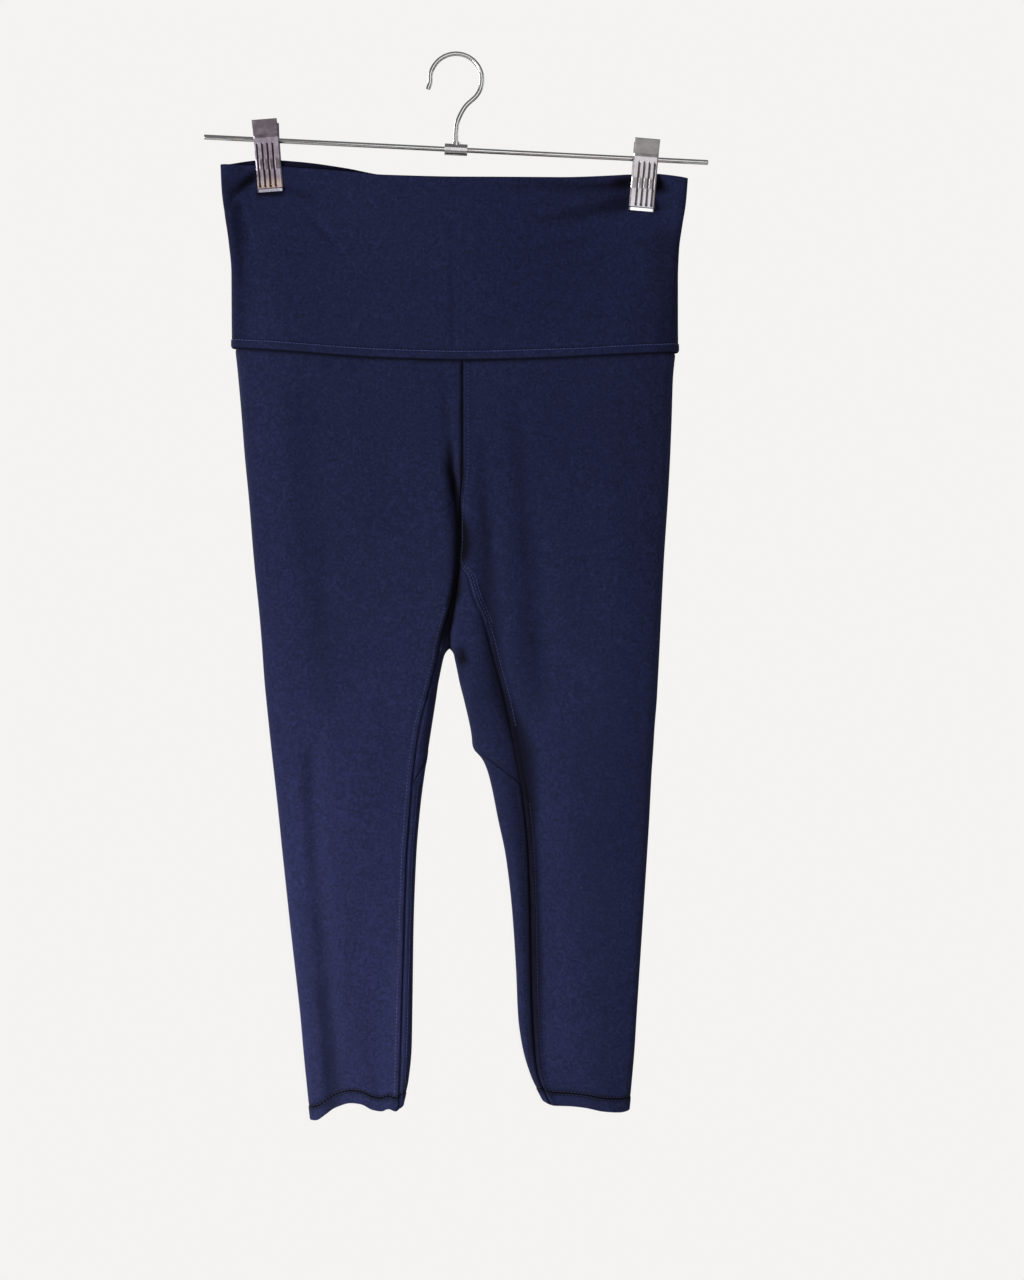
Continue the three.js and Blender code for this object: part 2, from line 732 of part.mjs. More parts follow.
// The gusset: a long diamond between the two inseams and the two centre seams. Its middle
// line is where the legs' folds meet: down the front valley, under the crotch and up
// behind. Each half lies on its own leg, from that line out to the leg's seams.
const GUSSET_GAP = 0.45;
const GUSSET_COLUMNS = [0, 0.3, 0.55, 0.75, 0.89, 1]; // from a seam to the middle line
function gussetPanel() {
  const middleNodes = new Map();
  // On the middle line the wall follows the line between the two halves' normals.
  const onMiddle = (z, side) => {
    const key = `${z} ${side}`;
    if (!middleNodes.has(key)) {
      const ends = ["left", "right"].map((leg) =>
        clothNode(leg, z, side * legSection(leg, z).cut, LEG_CLOTH));
      const outer = ends[0].outer.clone().lerp(ends[1].outer, 0.5);
      const normal = ends[0].normal.clone().add(ends[1].normal).normalize();
      const inner = outer.clone().addScaledVector(normal, -1.5 * LEG_CLOTH);
      middleNodes.set(key, { outer, inner });
    }
    return middleNodes.get(key);
  };
  // Nodes at one height between a seam (0) and the middle line (1), in front or behind.
  const flank = (leg, z, side) => {
    const [front, back] = [frontSeam(leg, z) - GUSSET_GAP, backSeam(leg, z) + GUSSET_GAP];
    const above = z >= CROTCH;
    const turn = smooth((GUSSET_BEND - z) / (GUSSET_BEND - GUSSET_TIP));
    const middle = above ? side * legSection(leg, z).cut : mix(0, (front + back) / 2, turn);
    return GUSSET_COLUMNS.map((t) => {
      if (above && t === 1) return onMiddle(z, side);
      return clothNode(leg, z, mix(side > 0 ? front : back, middle, t), LEG_CLOTH);
    });
  };
  const upper = GUSSET_ROWS.filter((z) => z >= CROTCH);
  const lower = GUSSET_ROWS.filter((z) => z <= CROTCH);
  const grids = (leg) => {
    const turned = (row) => (leg === "left" ? row.reverse() : row);
    return [
      upper.map((z) => turned(flank(leg, z, 1))),
      upper.map((z) => turned(flank(leg, z, -1).reverse())),
      lower.map((z) => turned([...flank(leg, z, 1), ...flank(leg, z, -1).reverse().slice(1)])),
    ];
  };
  return wall(...grids("left"), ...grids("right"));
}

// ---------------------------------------------------------------- the hanger

function circle(radius, sides) {
  const shape = new THREE.Shape();
  for (let k = 0; k < sides; k += 1) {
    const angle = (2 * Math.PI * k) / sides;
    const [x, y] = [radius * Math.cos(angle), radius * Math.sin(angle)];
    if (k === 0) shape.moveTo(x, y);
    else shape.lineTo(x, y);
  }
  shape.closePath();
  return shape;
}

// A round wire along a curve.
function wire(curve, radius, sides, steps) {
  return new THREE.ExtrudeGeometry(circle(radius, sides), { steps, extrudePath: curve, bevelEnabled: false });
}

function solid(geometry) {
  const bare = geometry.index ? geometry.clone() : mergeVertices(onlyPosition(geometry));
  for (const name of Object.keys(bare.attributes)) if (name !== "position") bare.deleteAttribute(name);
  const merged = mergeVertices(bare, 1e-4);
  return new wasm.Manifold(
    new wasm.Mesh({
      numProp: 3,
      vertProperties: merged.attributes.position.array,
      triVerts: new Uint32Array(merged.index.array),
    }),
  );
}

function onlyPosition(geometry) {
  return new THREE.BufferGeometry().setAttribute("position", geometry.getAttribute("position").clone());
}

function geometryOf(manifold) {
  const mesh = manifold.getMesh();
  const geometry = new THREE.BufferGeometry();
  const position = new Float32Array(mesh.numVert * 3);
  for (let i = 0; i < mesh.numVert; i += 1)
    position.set(mesh.vertProperties.subarray(i * mesh.numProp, i * mesh.numProp + 3), i * 3);
  geometry.setAttribute("position", new THREE.BufferAttribute(position, 3));
  geometry.setIndex(new THREE.BufferAttribute(new Uint32Array(mesh.triVerts), 1));
  geometry.computeVertexNormals();
  return geometry;
}

// A tube with square ends, standing along the bar's axis.
function sleeve(inside, outside, length) {
  const half = length / 2;
  const profile = [
    new THREE.Vector2(inside, -half),
    new THREE.Vector2(outside, -half),
    new THREE.Vector2(outside, half),
    new THREE.Vector2(inside, half),
    new THREE.Vector2(inside, -half),
  ];
  return new THREE.LatheGeometry(profile, 24).rotateZ(-Math.PI / 2);
}

const STEM_BOTTOM = 6.3; // above the bar's axis, where the hook's stem leaves its ferrule
function hookCurve() {
  const radius = HOOK_INSIDE_RADIUS + HOOK_WIRE_RADIUS;
  const centre = -HOOK_INSIDE_RADIUS;
  const onArc = (degrees) => {
    const angle = THREE.MathUtils.degToRad(degrees);
    return new THREE.Vector3(radius * Math.cos(angle), 0, centre + radius * Math.sin(angle));
  };
  const arc = range(-38, 186, 14).map(onArc);
  return new THREE.CatmullRomCurve3([
    new THREE.Vector3(0, 0, BAR_Z + STEM_BOTTOM),
    new THREE.Vector3(0, 0, BAR_Z + STEM_BOTTOM + 8),
    new THREE.Vector3(1.2, 0, BAR_Z + STEM_BOTTOM + 16),
    new THREE.Vector3(7.2, 0, centre - radius - 1),
    ...arc,
    new THREE.Vector3(-radius - 1.6, 0, centre - 7.5),
  ]);
}

const FERRULE = { inside: BAR_RADIUS + SEAM_GAP, outside: 4.6, length: 18 };
const FERRULE_POST = { radius: 3.2, height: 6 };
function ferrule() {
  const tube = solid(sleeve(FERRULE.inside, FERRULE.outside, FERRULE.length));
  const post = solid(
    new THREE.CylinderGeometry(FERRULE_POST.radius, FERRULE_POST.radius, FERRULE_POST.height, 24)
      .rotateX(Math.PI / 2)
      .translate(0, 0, FERRULE_POST.height / 2),
  );
  const bore = solid(
    new THREE.CylinderGeometry(FERRULE.inside, FERRULE.inside, FERRULE.length + 2, 24).rotateZ(-Math.PI / 2),
  );
  return geometryOf(tube.add(post.subtract(bore)));
}

// One jaw of a clip, in the clip's own frame: the bar's axis is its origin, the jaw goes
// down and its face looks towards -Y. The plate lies against the pivot sleeve, its finger
// tab splays above the bar, and its bottom edge is rolled out into a lip.
const PIVOT = { inside: BAR_RADIUS + SEAM_GAP, outside: 4.4, length: 14 };
const PIVOT_FACE = PIVOT.outside + SEAM_GAP; // the plate's inner face at the sleeve
const GRIP_FACE = PINCH + SEAM_GAP; // the plate's inner face where it grips
const GROOVES = { count: 4, pitch: 4.1, width: 1.1, depth: 0.5 };

// The plate's outer face from the finger tab down to the lip.
const JAW_OUTSIDE = [
  { y: PIVOT_FACE + PLATE + 7.5, z: 14.4 },
  { y: PIVOT_FACE + PLATE + 0.6, z: 3.4 },
  { y: PIVOT_FACE + PLATE, z: 1.2 },
  { y: PIVOT_FACE + PLATE, z: -4 },
  { y: GRIP_FACE + PLATE + 1.7, z: -15.6 },
  { y: GRIP_FACE + PLATE, z: -24 },
  { y: GRIP_FACE + PLATE + 0.1, z: -CLIP_DROP + 3.4 },
  { y: GRIP_FACE + 2.3, z: -CLIP_DROP + 2.4 },
  { y: GRIP_FACE + 2.6, z: -CLIP_DROP },
];
const JAW_INSIDE = [
  { y: GRIP_FACE + 0.9, z: -CLIP_DROP },
  { y: GRIP_FACE, z: -CLIP_DROP + 2.4 },
  { y: GRIP_FACE, z: -24 },
  { y: GRIP_FACE + 1.6, z: -16 },
  { y: PIVOT_FACE, z: -4 },
  { y: PIVOT_FACE, z: 1.5 },
  { y: PIVOT_FACE + 0.6, z: 4 },
  { y: PIVOT_FACE + 7.5, z: 15 },
];

// A side view in y and z, pulled out across x about x = 0.
function pulled(profile, width) {
  const shape = new THREE.Shape(profile.map(({ y, z }) => new THREE.Vector2(-y, z)));
  return new THREE.ExtrudeGeometry(shape, { depth: width, bevelEnabled: false })
    .translate(0, 0, -width / 2)
    .applyMatrix4(new THREE.Matrix4().set(0, 0, 1, 0, 1, 0, 0, 0, 0, 1, 0, 0, 0, 0, 0, 1));
}

function jawPlate() {
  let jaw = solid(pulled([...JAW_OUTSIDE, ...JAW_INSIDE], CLIP_WIDTH));
  const grooved = JAW_OUTSIDE.slice(3, 7).map(({ y, z }, k) => ({ y, z: k === 0 ? z - 3 : z }));
  const cutter = [
    ...grooved.map(({ y, z }) => ({ y: y + 2, z })),
    ...grooved.map(({ y, z }) => ({ y: y - GROOVES.depth, z })).reverse(),
  ];
  for (let k = 0; k < GROOVES.count; k += 1) {
    const x = (k - (GROOVES.count - 1) / 2) * GROOVES.pitch;
    jaw = jaw.subtract(solid(pulled(cutter, GROOVES.width).translate(x, 0, 0)));
  }
  return geometryOf(jaw);
}

// ---------------------------------------------------------------- assembly

const navy = new THREE.MeshStandardMaterial({ color: 0x22264a, roughness: 0.9, metalness: 0 });
const chrome = new THREE.MeshStandardMaterial({ color: 0xc9c9cc, roughness: 0.18, metalness: 1 });

function mesh(name, geometry, material) {
  const made = new THREE.Mesh(geometry, material);
  made.name = name;
  return made;
}

const garment = new THREE.Group();
garment.add(mesh("waistband_front", bandPanel(-1, 28), navy));
garment.add(mesh("waistband_back", bandPanel(1, 24), navy));
garment.add(mesh("leg_right", legPanel("right"), navy));
garment.add(mesh("leg_left", legPanel("left"), navy));
garment.add(mesh("gusset", gussetPanel(), navy));

const hanger = new THREE.Group();
const bar = mesh("hanger_bar", new THREE.CylinderGeometry(BAR_RADIUS, BAR_RADIUS, BAR_LENGTH, 20), chrome);
bar.position.copy(onBar(0));
bar.rotation.set(0, BAR_TILT, 0);
bar.geometry.rotateZ(Math.PI / 2);
hanger.add(bar);
const collar = mesh("hook_ferrule", ferrule(), chrome);
collar.position.copy(onBar(0));
collar.rotation.set(0, BAR_TILT, 0);
hanger.add(collar);
hanger.add(mesh("hanger_hook", wire(hookCurve(), HOOK_WIRE_RADIUS, 10, 36), chrome));

for (const { name, at, lean } of CLIPS) {
  const clip = new THREE.Group();
  clip.position.copy(at);
  clip.rotation.set(0, -lean, 0);
  clip.add(mesh(`clip_${name}_front_jaw`, jawPlate(), chrome));
  const back = mesh(`clip_${name}_back_jaw`, jawPlate(), chrome);
  back.rotation.set(0, 0, Math.PI);
  clip.add(back);
  hanger.add(clip);
  const pivot = mesh(`clip_${name}_pivot`, sleeve(PIVOT.inside, PIVOT.outside, PIVOT.length), chrome);
  pivot.position.copy(at);
  pivot.rotation.set(0, BAR_TILT, 0);
  hanger.add(pivot);
}

const part = new THREE.Group();
part.add(garment, hanger);
export default part;
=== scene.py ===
"""Cropped high-waist leggings hanging from a two-clip hanger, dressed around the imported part.

Sizes are worked out in millimetres and turned into metres where a mesh is made.
X runs towards the wearer's left leg, the garment's front faces -Y, and Z is up. The
origin is the top of the inside of the hanger's hook. "right" and "left" are the wearer's.
"""

import math
from functools import lru_cache
from types import SimpleNamespace

import bpy
import numpy as np
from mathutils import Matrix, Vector


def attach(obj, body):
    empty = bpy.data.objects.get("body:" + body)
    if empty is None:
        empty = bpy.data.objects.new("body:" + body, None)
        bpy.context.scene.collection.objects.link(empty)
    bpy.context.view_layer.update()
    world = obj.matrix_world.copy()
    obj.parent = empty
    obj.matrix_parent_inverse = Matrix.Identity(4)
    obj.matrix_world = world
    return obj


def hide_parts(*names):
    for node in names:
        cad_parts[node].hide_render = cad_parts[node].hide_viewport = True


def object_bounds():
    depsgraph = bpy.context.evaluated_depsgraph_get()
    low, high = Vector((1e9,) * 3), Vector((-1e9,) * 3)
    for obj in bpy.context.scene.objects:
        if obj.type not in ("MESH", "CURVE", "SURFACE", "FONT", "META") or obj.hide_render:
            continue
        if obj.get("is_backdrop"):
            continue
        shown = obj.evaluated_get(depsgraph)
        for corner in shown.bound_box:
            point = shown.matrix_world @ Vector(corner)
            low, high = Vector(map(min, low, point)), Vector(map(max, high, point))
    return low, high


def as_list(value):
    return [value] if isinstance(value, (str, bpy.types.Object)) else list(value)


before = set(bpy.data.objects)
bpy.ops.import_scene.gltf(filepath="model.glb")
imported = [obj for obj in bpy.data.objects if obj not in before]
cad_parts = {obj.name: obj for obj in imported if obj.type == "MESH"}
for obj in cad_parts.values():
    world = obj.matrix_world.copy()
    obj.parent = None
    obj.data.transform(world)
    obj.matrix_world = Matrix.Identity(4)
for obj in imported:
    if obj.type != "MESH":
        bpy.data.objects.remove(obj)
cad_low, cad_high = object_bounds()

MM = 0.001
FRONT, BOTH, BACK = -1, 0, 1  # the garment's faces, by the sign of their y

# ---------------------------------------------------------------- driving sizes

SEAM_GAP = 0.12  # between two sewn panels, at the bottom of the seam's groove
LEG_CLOTH = 1.2
BAND_CLOTH = 1.8
BAND_LIP = 0.7
BAND_LIP_HEIGHT = 7
HEM_TURN_UP = 10
HEM_STEP = 0.45

WAIST_TOP = -95
WAIST_SEAM = -240
GUSSET_TOP = -404
CROTCH = -474
GUSSET_BEND = -536  # from here down its back edge comes round to the front
GUSSET_TIP = -582
HEM = -836

BAR_Z = -75
BAR_RADIUS = 2
BAR_LENGTH = 404
BAR_TILT = math.radians(2.9)
HOOK_INSIDE_RADIUS = 19
HOOK_WIRE_RADIUS = 1.8
CLIP_WIDTH = 20
CLIP_DROP = 42
PINCH = BAND_CLOTH + 0.15  # half the cloth between two jaws

# ---------------------------------------------------------------- small helpers


def smooth(t):
    t = np.clip(t, 0, 1)
    return t * t * (3 - 2 * t)


def mix(a, b, t):
    return a + (b - a) * t


def bell(t):
    return np.exp(-t * t)


def unit(v):
    return v / np.maximum(np.linalg.norm(v, axis=-1, keepdims=True), 1e-12)


def table(names, *rows):
    """Named columns as smooth functions of the first column; none overshoots its rows."""
    data = np.array(sorted(rows), float)
    at = data[:, 0]

    def column(v):
        secant = np.diff(v) / np.diff(at)
        before, after = secant[:-1], secant[1:]
        turning = before * after <= 0
        total = np.where(turning, 1, before + after)
        inside = np.where(turning, 0, 2 * before * after / total)
        slope = np.concatenate([secant[:1], inside, secant[-1:]])

        def read(x):
            t = np.clip(x, at[0], at[-1])
            i = np.clip(np.searchsorted(at, t) - 1, 0, len(at) - 2)
            span = at[i + 1] - at[i]
            u = (t - at[i]) / span
            value = (1 + 2 * u) * (1 - u) ** 2 * v[i] + u * u * (3 - 2 * u) * v[i + 1]
            return value + span * (u * (1 - u) ** 2 * slope[i] + u * u * (u - 1) * slope[i + 1])

        return read

    return SimpleNamespace(**{name: column(data[:, k + 1]) for k, name in enumerate(names.split())})


ROUNDING = 2.3


def rounding(distance, reach):
    """The rounding of a flattened tube near its fold: 0 at the fold, 1 from reach on."""
    t = 1 - np.clip(distance / reach, 0, 1)
    return (1 - t**ROUNDING) ** (1 / ROUNDING)


EDGE_SHARE = 0.45
EDGE_SLOPE = 50


def flat_edge(distance, reach, slope):
    """The same at an outer fold that is pressed flat: a tight round edge, then a slow rise."""
    rise = np.sin(np.pi / 2 * np.clip(distance / slope, 0, 1))
    return EDGE_SHARE * rounding(distance, reach) + (1 - EDGE_SHARE) * rise


# ---------------------------------------------------------------- the garment's sizes

# The waistband by height: its side edges, half its depth and the reach of its edges' rounding.
BAND = table(
    "left right depth reach",
    (-95, -188.5, 185.6, 15, 7), (-115, -187.5, 184, 17.5, 8), (-135, -185, 181, 20, 8.5),
    (-155, -182, 178.5, 21.8, 9), (-180, -179.7, 177.6, 23.4, 9.5), (-210, -179.5, 177.6, 24.6, 10),
    (-240, -179.2, 177.8, 25.3, 10),
)
# Its top edges' heights in front and behind, and the height of the waist seam, both by x.
WAIST_EDGE = table(
    "front back",
    (-188, -87, -86.5), (-150, -88, -83), (-125, -89.5, -84.5), (-89, -92.5, -89), (-57, -96, -94.5),
    (7, -98, -99.5), (83, -97.5, -99), (140, -95, -96), (160, -94.5, -95.5), (186, -98, -97.5),
)
WAIST_SEAM_LINE = table(
    "z",
    (-178, -234), (-125, -238.5), (-60, -243), (5, -244.8), (85, -242.8), (130, -240.5), (178, -237.5),
)
# The line where the two legs meet, by height: its x, how far each leg's inner fold lies past
# it, and the reach of that fold's rounding.
MIDDLE = table(
    "x overlap reach",
    (-240, 5.6, 90, 30), (-275, 5.6, 68, 30), (-291, 5.6, 46, 28), (-307, 5.6, 26, 23), (-323, 5.6, 14, 17),
    (-339, 5.2, 7, 13), (-355, 4, 3, 10), (-371, 4.2, 1.7, 9), (-387, 4.2, 1.4, 9), (-403, 3, 1.3, 9),
    (-419, 1.4, 1.2, 9), (-435, -0.6, 1.2, 9), (-451, -3.2, 1.1, 9), (-467, -5.2, 0.9, 9),
    (-474, -5.2, 0, 9), (-476, -5.2, -2, 9), (-479, -5.4, -3.7, 9.4), (-483, -5.6, -4.7, 10),
    (-499, -5.6, -8, 11), (-515, -4.8, -11.2, 12),
)

# The legs by height: the x of the outer and inner folds, half the depth, the reach of each
# fold's rounding, and how far the leg is set back.
LEG_COLUMNS = "outer inner depth outer_reach inner_reach shift"
LEGS = {
    "right": table(
        LEG_COLUMNS,
        (-240, -176.6, 0, 24.6, 12, 30, 0), (-260, -174.4, 0, 25.2, 13, 30, 0),
        (-290, -171.5, 0, 25.5, 13, 30, 0), (-320, -169, 0, 25.3, 13, 20, 0),
        (-355, -165.6, 0, 24.5, 13, 10, 0), (-404, -161.6, 0, 23.3, 13, 9, 0),
        (-450, -157, 0, 22, 12, 9, 0), (-475, -155, -6.5, 21.3, 12, 9, 0),
        (-499, -153.4, -13.6, 20.8, 12, 9.4, 0), (-515, -152, -16, 20.4, 12, 10, 0),
        (-560, -147.5, -22.8, 19.4, 11, 11, -1), (-600, -143, -28.2, 18.4, 10, 11, -2),
        (-640, -138.8, -31.5, 17.4, 10, 11, -3), (-695, -132.9, -33.6, 16.2, 9, 11, -3),
        (-760, -125.6, -34.6, 15, 8, 10, -2), (-791, -122.4, -35.2, 14.4, 8, 10, -1),
        (-815, -119.3, -37.6, 13.6, 7.5, 10, 0), (-836, -116.6, -42.2, 13, 7, 10, 0),
    ),
    "left": table(
        LEG_COLUMNS,
        (-240, 175.6, 0, 24.6, 10, 30, 0), (-260, 173.6, 0, 25.2, 10, 30, 0),
        (-290, 172.6, 0, 25.5, 10, 30, 0), (-320, 171.4, 0, 25.3, 10, 20, 0),
        (-355, 169.5, 0, 24.5, 10, 10, 0), (-404, 166.3, 0, 23.3, 10, 9, 0), (-450, 164, 0, 22, 10, 9, 0),
        (-475, 162.8, -3, 21.3, 10, 9, 0), (-499, 161.6, 2.4, 20.4, 9.5, 9.4, 0),
        (-515, 160.8, 6.4, 20.1, 9.5, 10, 0), (-539, 159, 11.8, 19.3, 9, 11, 0),
        (-553, 158.3, 14, 19, 9, 12, 1), (-563, 157.6, 21.5, 18.6, 9, 12, 1),
        (-575, 156.8, 26.2, 18.3, 9, 12, 1), (-611, 155, 33.8, 17.6, 8.5, 12, 2),
        (-640, 153.2, 39.8, 16.9, 8, 11, 2), (-683, 150.4, 44.8, 15.9, 7.5, 11, 2),
        (-731, 147.2, 48, 15.2, 7, 11, 1), (-767, 144.8, 49.6, 14.4, 7, 11, 0),
        (-791, 143.2, 52.8, 14, 6.5, 11, 0), (-815, 140.8, 59.5, 13.2, 6.5, 11, 0),
        (-836, 138.6, 69.5, 12.4, 6, 11, 0),
    ),
}
# Below the crotch each leg is flatter towards its inner fold, and turned a little outwards.
INNER_SHARE = 0.58
INNER_SHARE_REACH = 62
TURN = 0.11
JOINED_DOWN_TO = CROTCH - 40  # above it a leg's section ends at the middle line
PARTED_REACH = 110  # below the crotch, over which the legs take their own shape
TOWARDS = {"right": -1, "left": 1}

# Where each inseam shows on the front, by height.
INSEAMS = {
    "right": table(
        "x",
        (-447, -6.2), (-460, -9.4), (-475, -12.8), (-507, -20.8), (-539, -28.6), (-571, -33.2),
        (-603, -35.8), (-643, -38.6), (-715, -41), (-795, -43.6), (-836, -45.2),
    ),
    "left": table(
        "x",
        (-415, 8.4), (-435, 14.4), (-451, 21.6), (-467, 26.4), (-483, 30.4), (-515, 39), (-547, 45.6),
        (-571, 50.2), (-595, 54), (-635, 57.8), (-675, 59.4), (-755, 61), (-787, 62.6), (-815, 65.6),
        (-836, 76),
    ),
}
INSEAM_SHOWS = {"right": -447, "left": -415}

# The gusset's back edge: `behind` is the length of cloth from the inner fold round to it,
# and `share` is how far it has come round from there towards the inseam on the front.
GUSSET_BACK = {
    "right": table(
        "behind share",
        (-404, 0, 0), (-430, 20, 0), (-474, 44, 0), (-515, 34, 0), (-536, 19, 0), (-550, 9, 0.1),
        (-564, 1, 0.42), (-582, 0, 1),
    ),
    "left": table(
        "behind share",
        (-404, 0, 0), (-430, 14, 0), (-474, 29, 0), (-515, 22, 0), (-536, 10, 0), (-548, 2, 0.04),
        (-558, 0, 0.24), (-570, 0, 0.6), (-582, 0, 1),
    ),
}
# How far each hem lies above (or, where negative, below) its straight line, by x.
HEM_LINES = {
    "right": table(
        "drop",
        (-117, -15.5), (-112, -15), (-104, -10), (-96, -4.5), (-84, -0.6), (-76, -1.4), (-66, -6),
        (-59, -7.2), (-54, -5.2), (-48, -7), (-42, -3),
    ),
    "left": table(
        "drop",
        (69, 1), (78, -2.4), (92, -3), (104, -4.4), (118, -7.4), (132, -8.6), (139, -7.6),
    ),
}

# ---------------------------------------------------------------- folds, creases and tucks


def trough(names, rows, **marks):
    """A soft trough (or, with a negative depth, a ridge) along a line. Where all its rows share
    their two widths, these come first, as a pair."""
    if len(rows[0]) == 2:
        widths, *rows = rows
        rows = [(at, line, *widths, depth) for at, line, depth in rows]
    made = table(names, *rows)
    vars(made).update(marks)
    return made


def fold(leg, face, *rows):
    """One down a leg: by height its x, its widths to the left and right, and its depth."""
    return trough("x left right depth", rows, leg=leg, face=face)


def band_down(face, *rows):
    """One down the waistband. The face BOTH bends the two layers back together."""
    return trough("x left right depth", rows, face=face)


def band_across(face, *rows):
    """One across the waistband: by x its height, its widths above and below, and its depth."""
    return trough("z above below depth", rows, face=face)


# The broad folds, which the CAD solids have too.
FOLDS = [
    fold("right", FRONT, (-250, -114, 17, 15, 0), (-285, -117, 17, 15, 1.4), (-330, -118, 18, 15, 2.4),
         (-400, -117, 18, 14, 2.8), (-470, -115, 15, 12, 2.4), (-540, -116, 11, 10, 2.5),
         (-574, -117, 8, 9, 3), (-620, -113.5, 7, 9, 3.6), (-670, -110, 7, 10, 4),
         (-716, -106.5, 7, 10, 4.2), (-798, -100, 7, 10, 4.6), (-846, -96, 7, 10, 4.6)),
    fold("left", FRONT, (-300, 22, 5, 7, 0), (-345, 23.5, 5, 8, 1.6), (-400, 25, 6, 9, 3),
         (-451, 27.5, 7, 11, 3.8), (-480, 30.5, 7, 13, 4.4), (-504, 36, 8, 17, 5), (-545, 49, 10, 22, 6),
         (-600, 56, 9, 24, 5.8), (-655, 60.5, 8, 24, 5.2), (-737, 63, 8, 24, 4.6), (-798, 63, 8, 22, 4),
         (-828, 66, 8, 16, 0)),
    fold("left", FRONT, (-250, 50, 6, 12, 0), (-290, 51, 6, 13, 1.6), (-361, 56, 7, 15, 2.4),
         (-420, 61, 9, 16, 2.8), (-483, 67, 10, 16, 2.6), (-530, 68, 10, 14, 1.2), (-560, 68, 10, 14, 0)),
    fold("right", BACK, (-290, -92, 16, 20, 0), (-420, -88, 16, 20, 3), (-620, -84, 13, 16, 2.6),
         (-720, -82, 13, 16, 0)),
    fold("right", BACK, (-540, -56, 9, 14, 0), (-650, -62, 9, 14, 3.4), (-780, -70, 8, 12, 3.8),
         (-850, -74, 8, 12, 3)),
    fold("left", BACK, (-290, 68, 16, 12, 0), (-420, 76, 16, 12, 3.2), (-600, 92, 14, 10, 2.6),
         (-700, 98, 14, 10, 0)),
    fold("left", BACK, (-500, 120, 13, 10, 0), (-640, 114, 13, 9, 3), (-790, 106, 12, 9, 3.6),
         (-850, 103, 12, 9, 3)),
]

# The finer creases, which only the cloth's own surface shows.
CREASES = [
    fold("right", FRONT, (3, 4), (-246, -9.5, 0), (-264, -8.8, 1), (-300, -6.6, 1.7), (-325, -4, 2),
         (-345, -2, 0)),
    fold("right", FRONT, (-310, -3.4, 3, 5, 0), (-330, -2.6, 3, 4.5, 3.6), (-345, -1.6, 3, 4.5, 7),
         (-360, -0.4, 3.4, 4, 7), (-376, 1, 3, 3.5, 4.6), (-398, 2, 3, 3, 2), (-412, 1.5, 3, 3, 0)),
    fold("right", FRONT, (-420, -82, 24, 30, 0), (-505, -84, 24, 30, 1.7), (-610, -84, 20, 24, 0)),
    fold("right", FRONT, (-500, -52, 7, 12, 0), (-560, -56, 7, 14, 0.8), (-640, -58, 7, 14, 0)),
    fold("right", FRONT, (-700, -62, 6, 12, 0), (-760, -64, 6, 13, 0.8), (-850, -60, 6, 12, 1.6)),
    fold("right", FRONT, (5, 9), (-772, -84, 0), (-815, -83, 0.9), (-850, -80, 2)),
    fold("left", FRONT, (2.4, 3), (-466, 3.2, 0), (-479, 3.6, 2.6), (-492, 5, 0)),
    fold("left", FRONT, (13, 9), (-250, 138, 0), (-300, 138, 1), (-370, 137, 0)),
    fold("left", FRONT, (14, 20), (-330, 100, 0), (-420, 104, 1), (-520, 102, 0)),
    fold("left", FRONT, (-600, 104, 10, 16, 0), (-690, 104, 10, 16, 0.9), (-790, 100, 10, 14, 0)),
    fold("right", BACK, (-250, -40, 8, 12, 0), (-330, -36, 8, 12, 1.8), (-440, -30, 6, 9, 2.6),
         (-480, -28, 5, 7, 0)),
    fold("right", BACK, (7, 9), (-600, -108, 0), (-700, -104, 1.6), (-820, -96, 0.6)),
    fold("left", BACK, (-260, 28, 10, 7, 0), (-350, 24, 10, 7, 2), (-450, 22, 8, 5, 2.8),
         (-500, 26, 7, 5, 0)),
    fold("left", BACK, (-560, 70, 10, 8, 0), (-680, 78, 9, 7, 1.8), (-800, 82, 9, 7, 0.8)),
]
# The waistband's creases, down it and across it.
BAND_DOWN = [
    band_down(FRONT, (-112, -171, 5, 9, 0), (-124, -172, 6, 10, 2.6), (-150, -171, 6, 11, 3.2),
              (-200, -169, 6, 11, 3), (-243, -169, 6, 11, 2.4)),
    band_down(FRONT, (1.3, 1.3), (-126, -2.8, 0), (-150, -2.8, 0.55), (-243, -2.8, 0.55)),
    band_down(FRONT, (-120, 151, 6, 7, 0), (-132, 151, 6, 7, -2.2), (-150, 150, 7, 7, -1.4),
              (-184, 150, 8, 8, 0)),
    band_down(BACK, (-115, 170, 9, 5, 0), (-150, 170, 10, 6, 2.6), (-243, 169, 10, 6, 2.2)),
    band_down(BACK, (1.3, 1.3), (-126, 2.2, 0), (-150, 2.2, 0.55), (-243, 2.2, 0.55)),
    band_down(FRONT, (-122, 150.4, 5, 5, 0), (-130, 150.4, 6, 6, -1.5), (-146, 150, 5, 5, -0.9),
              (-176, 149, 5, 5, 0)),
]
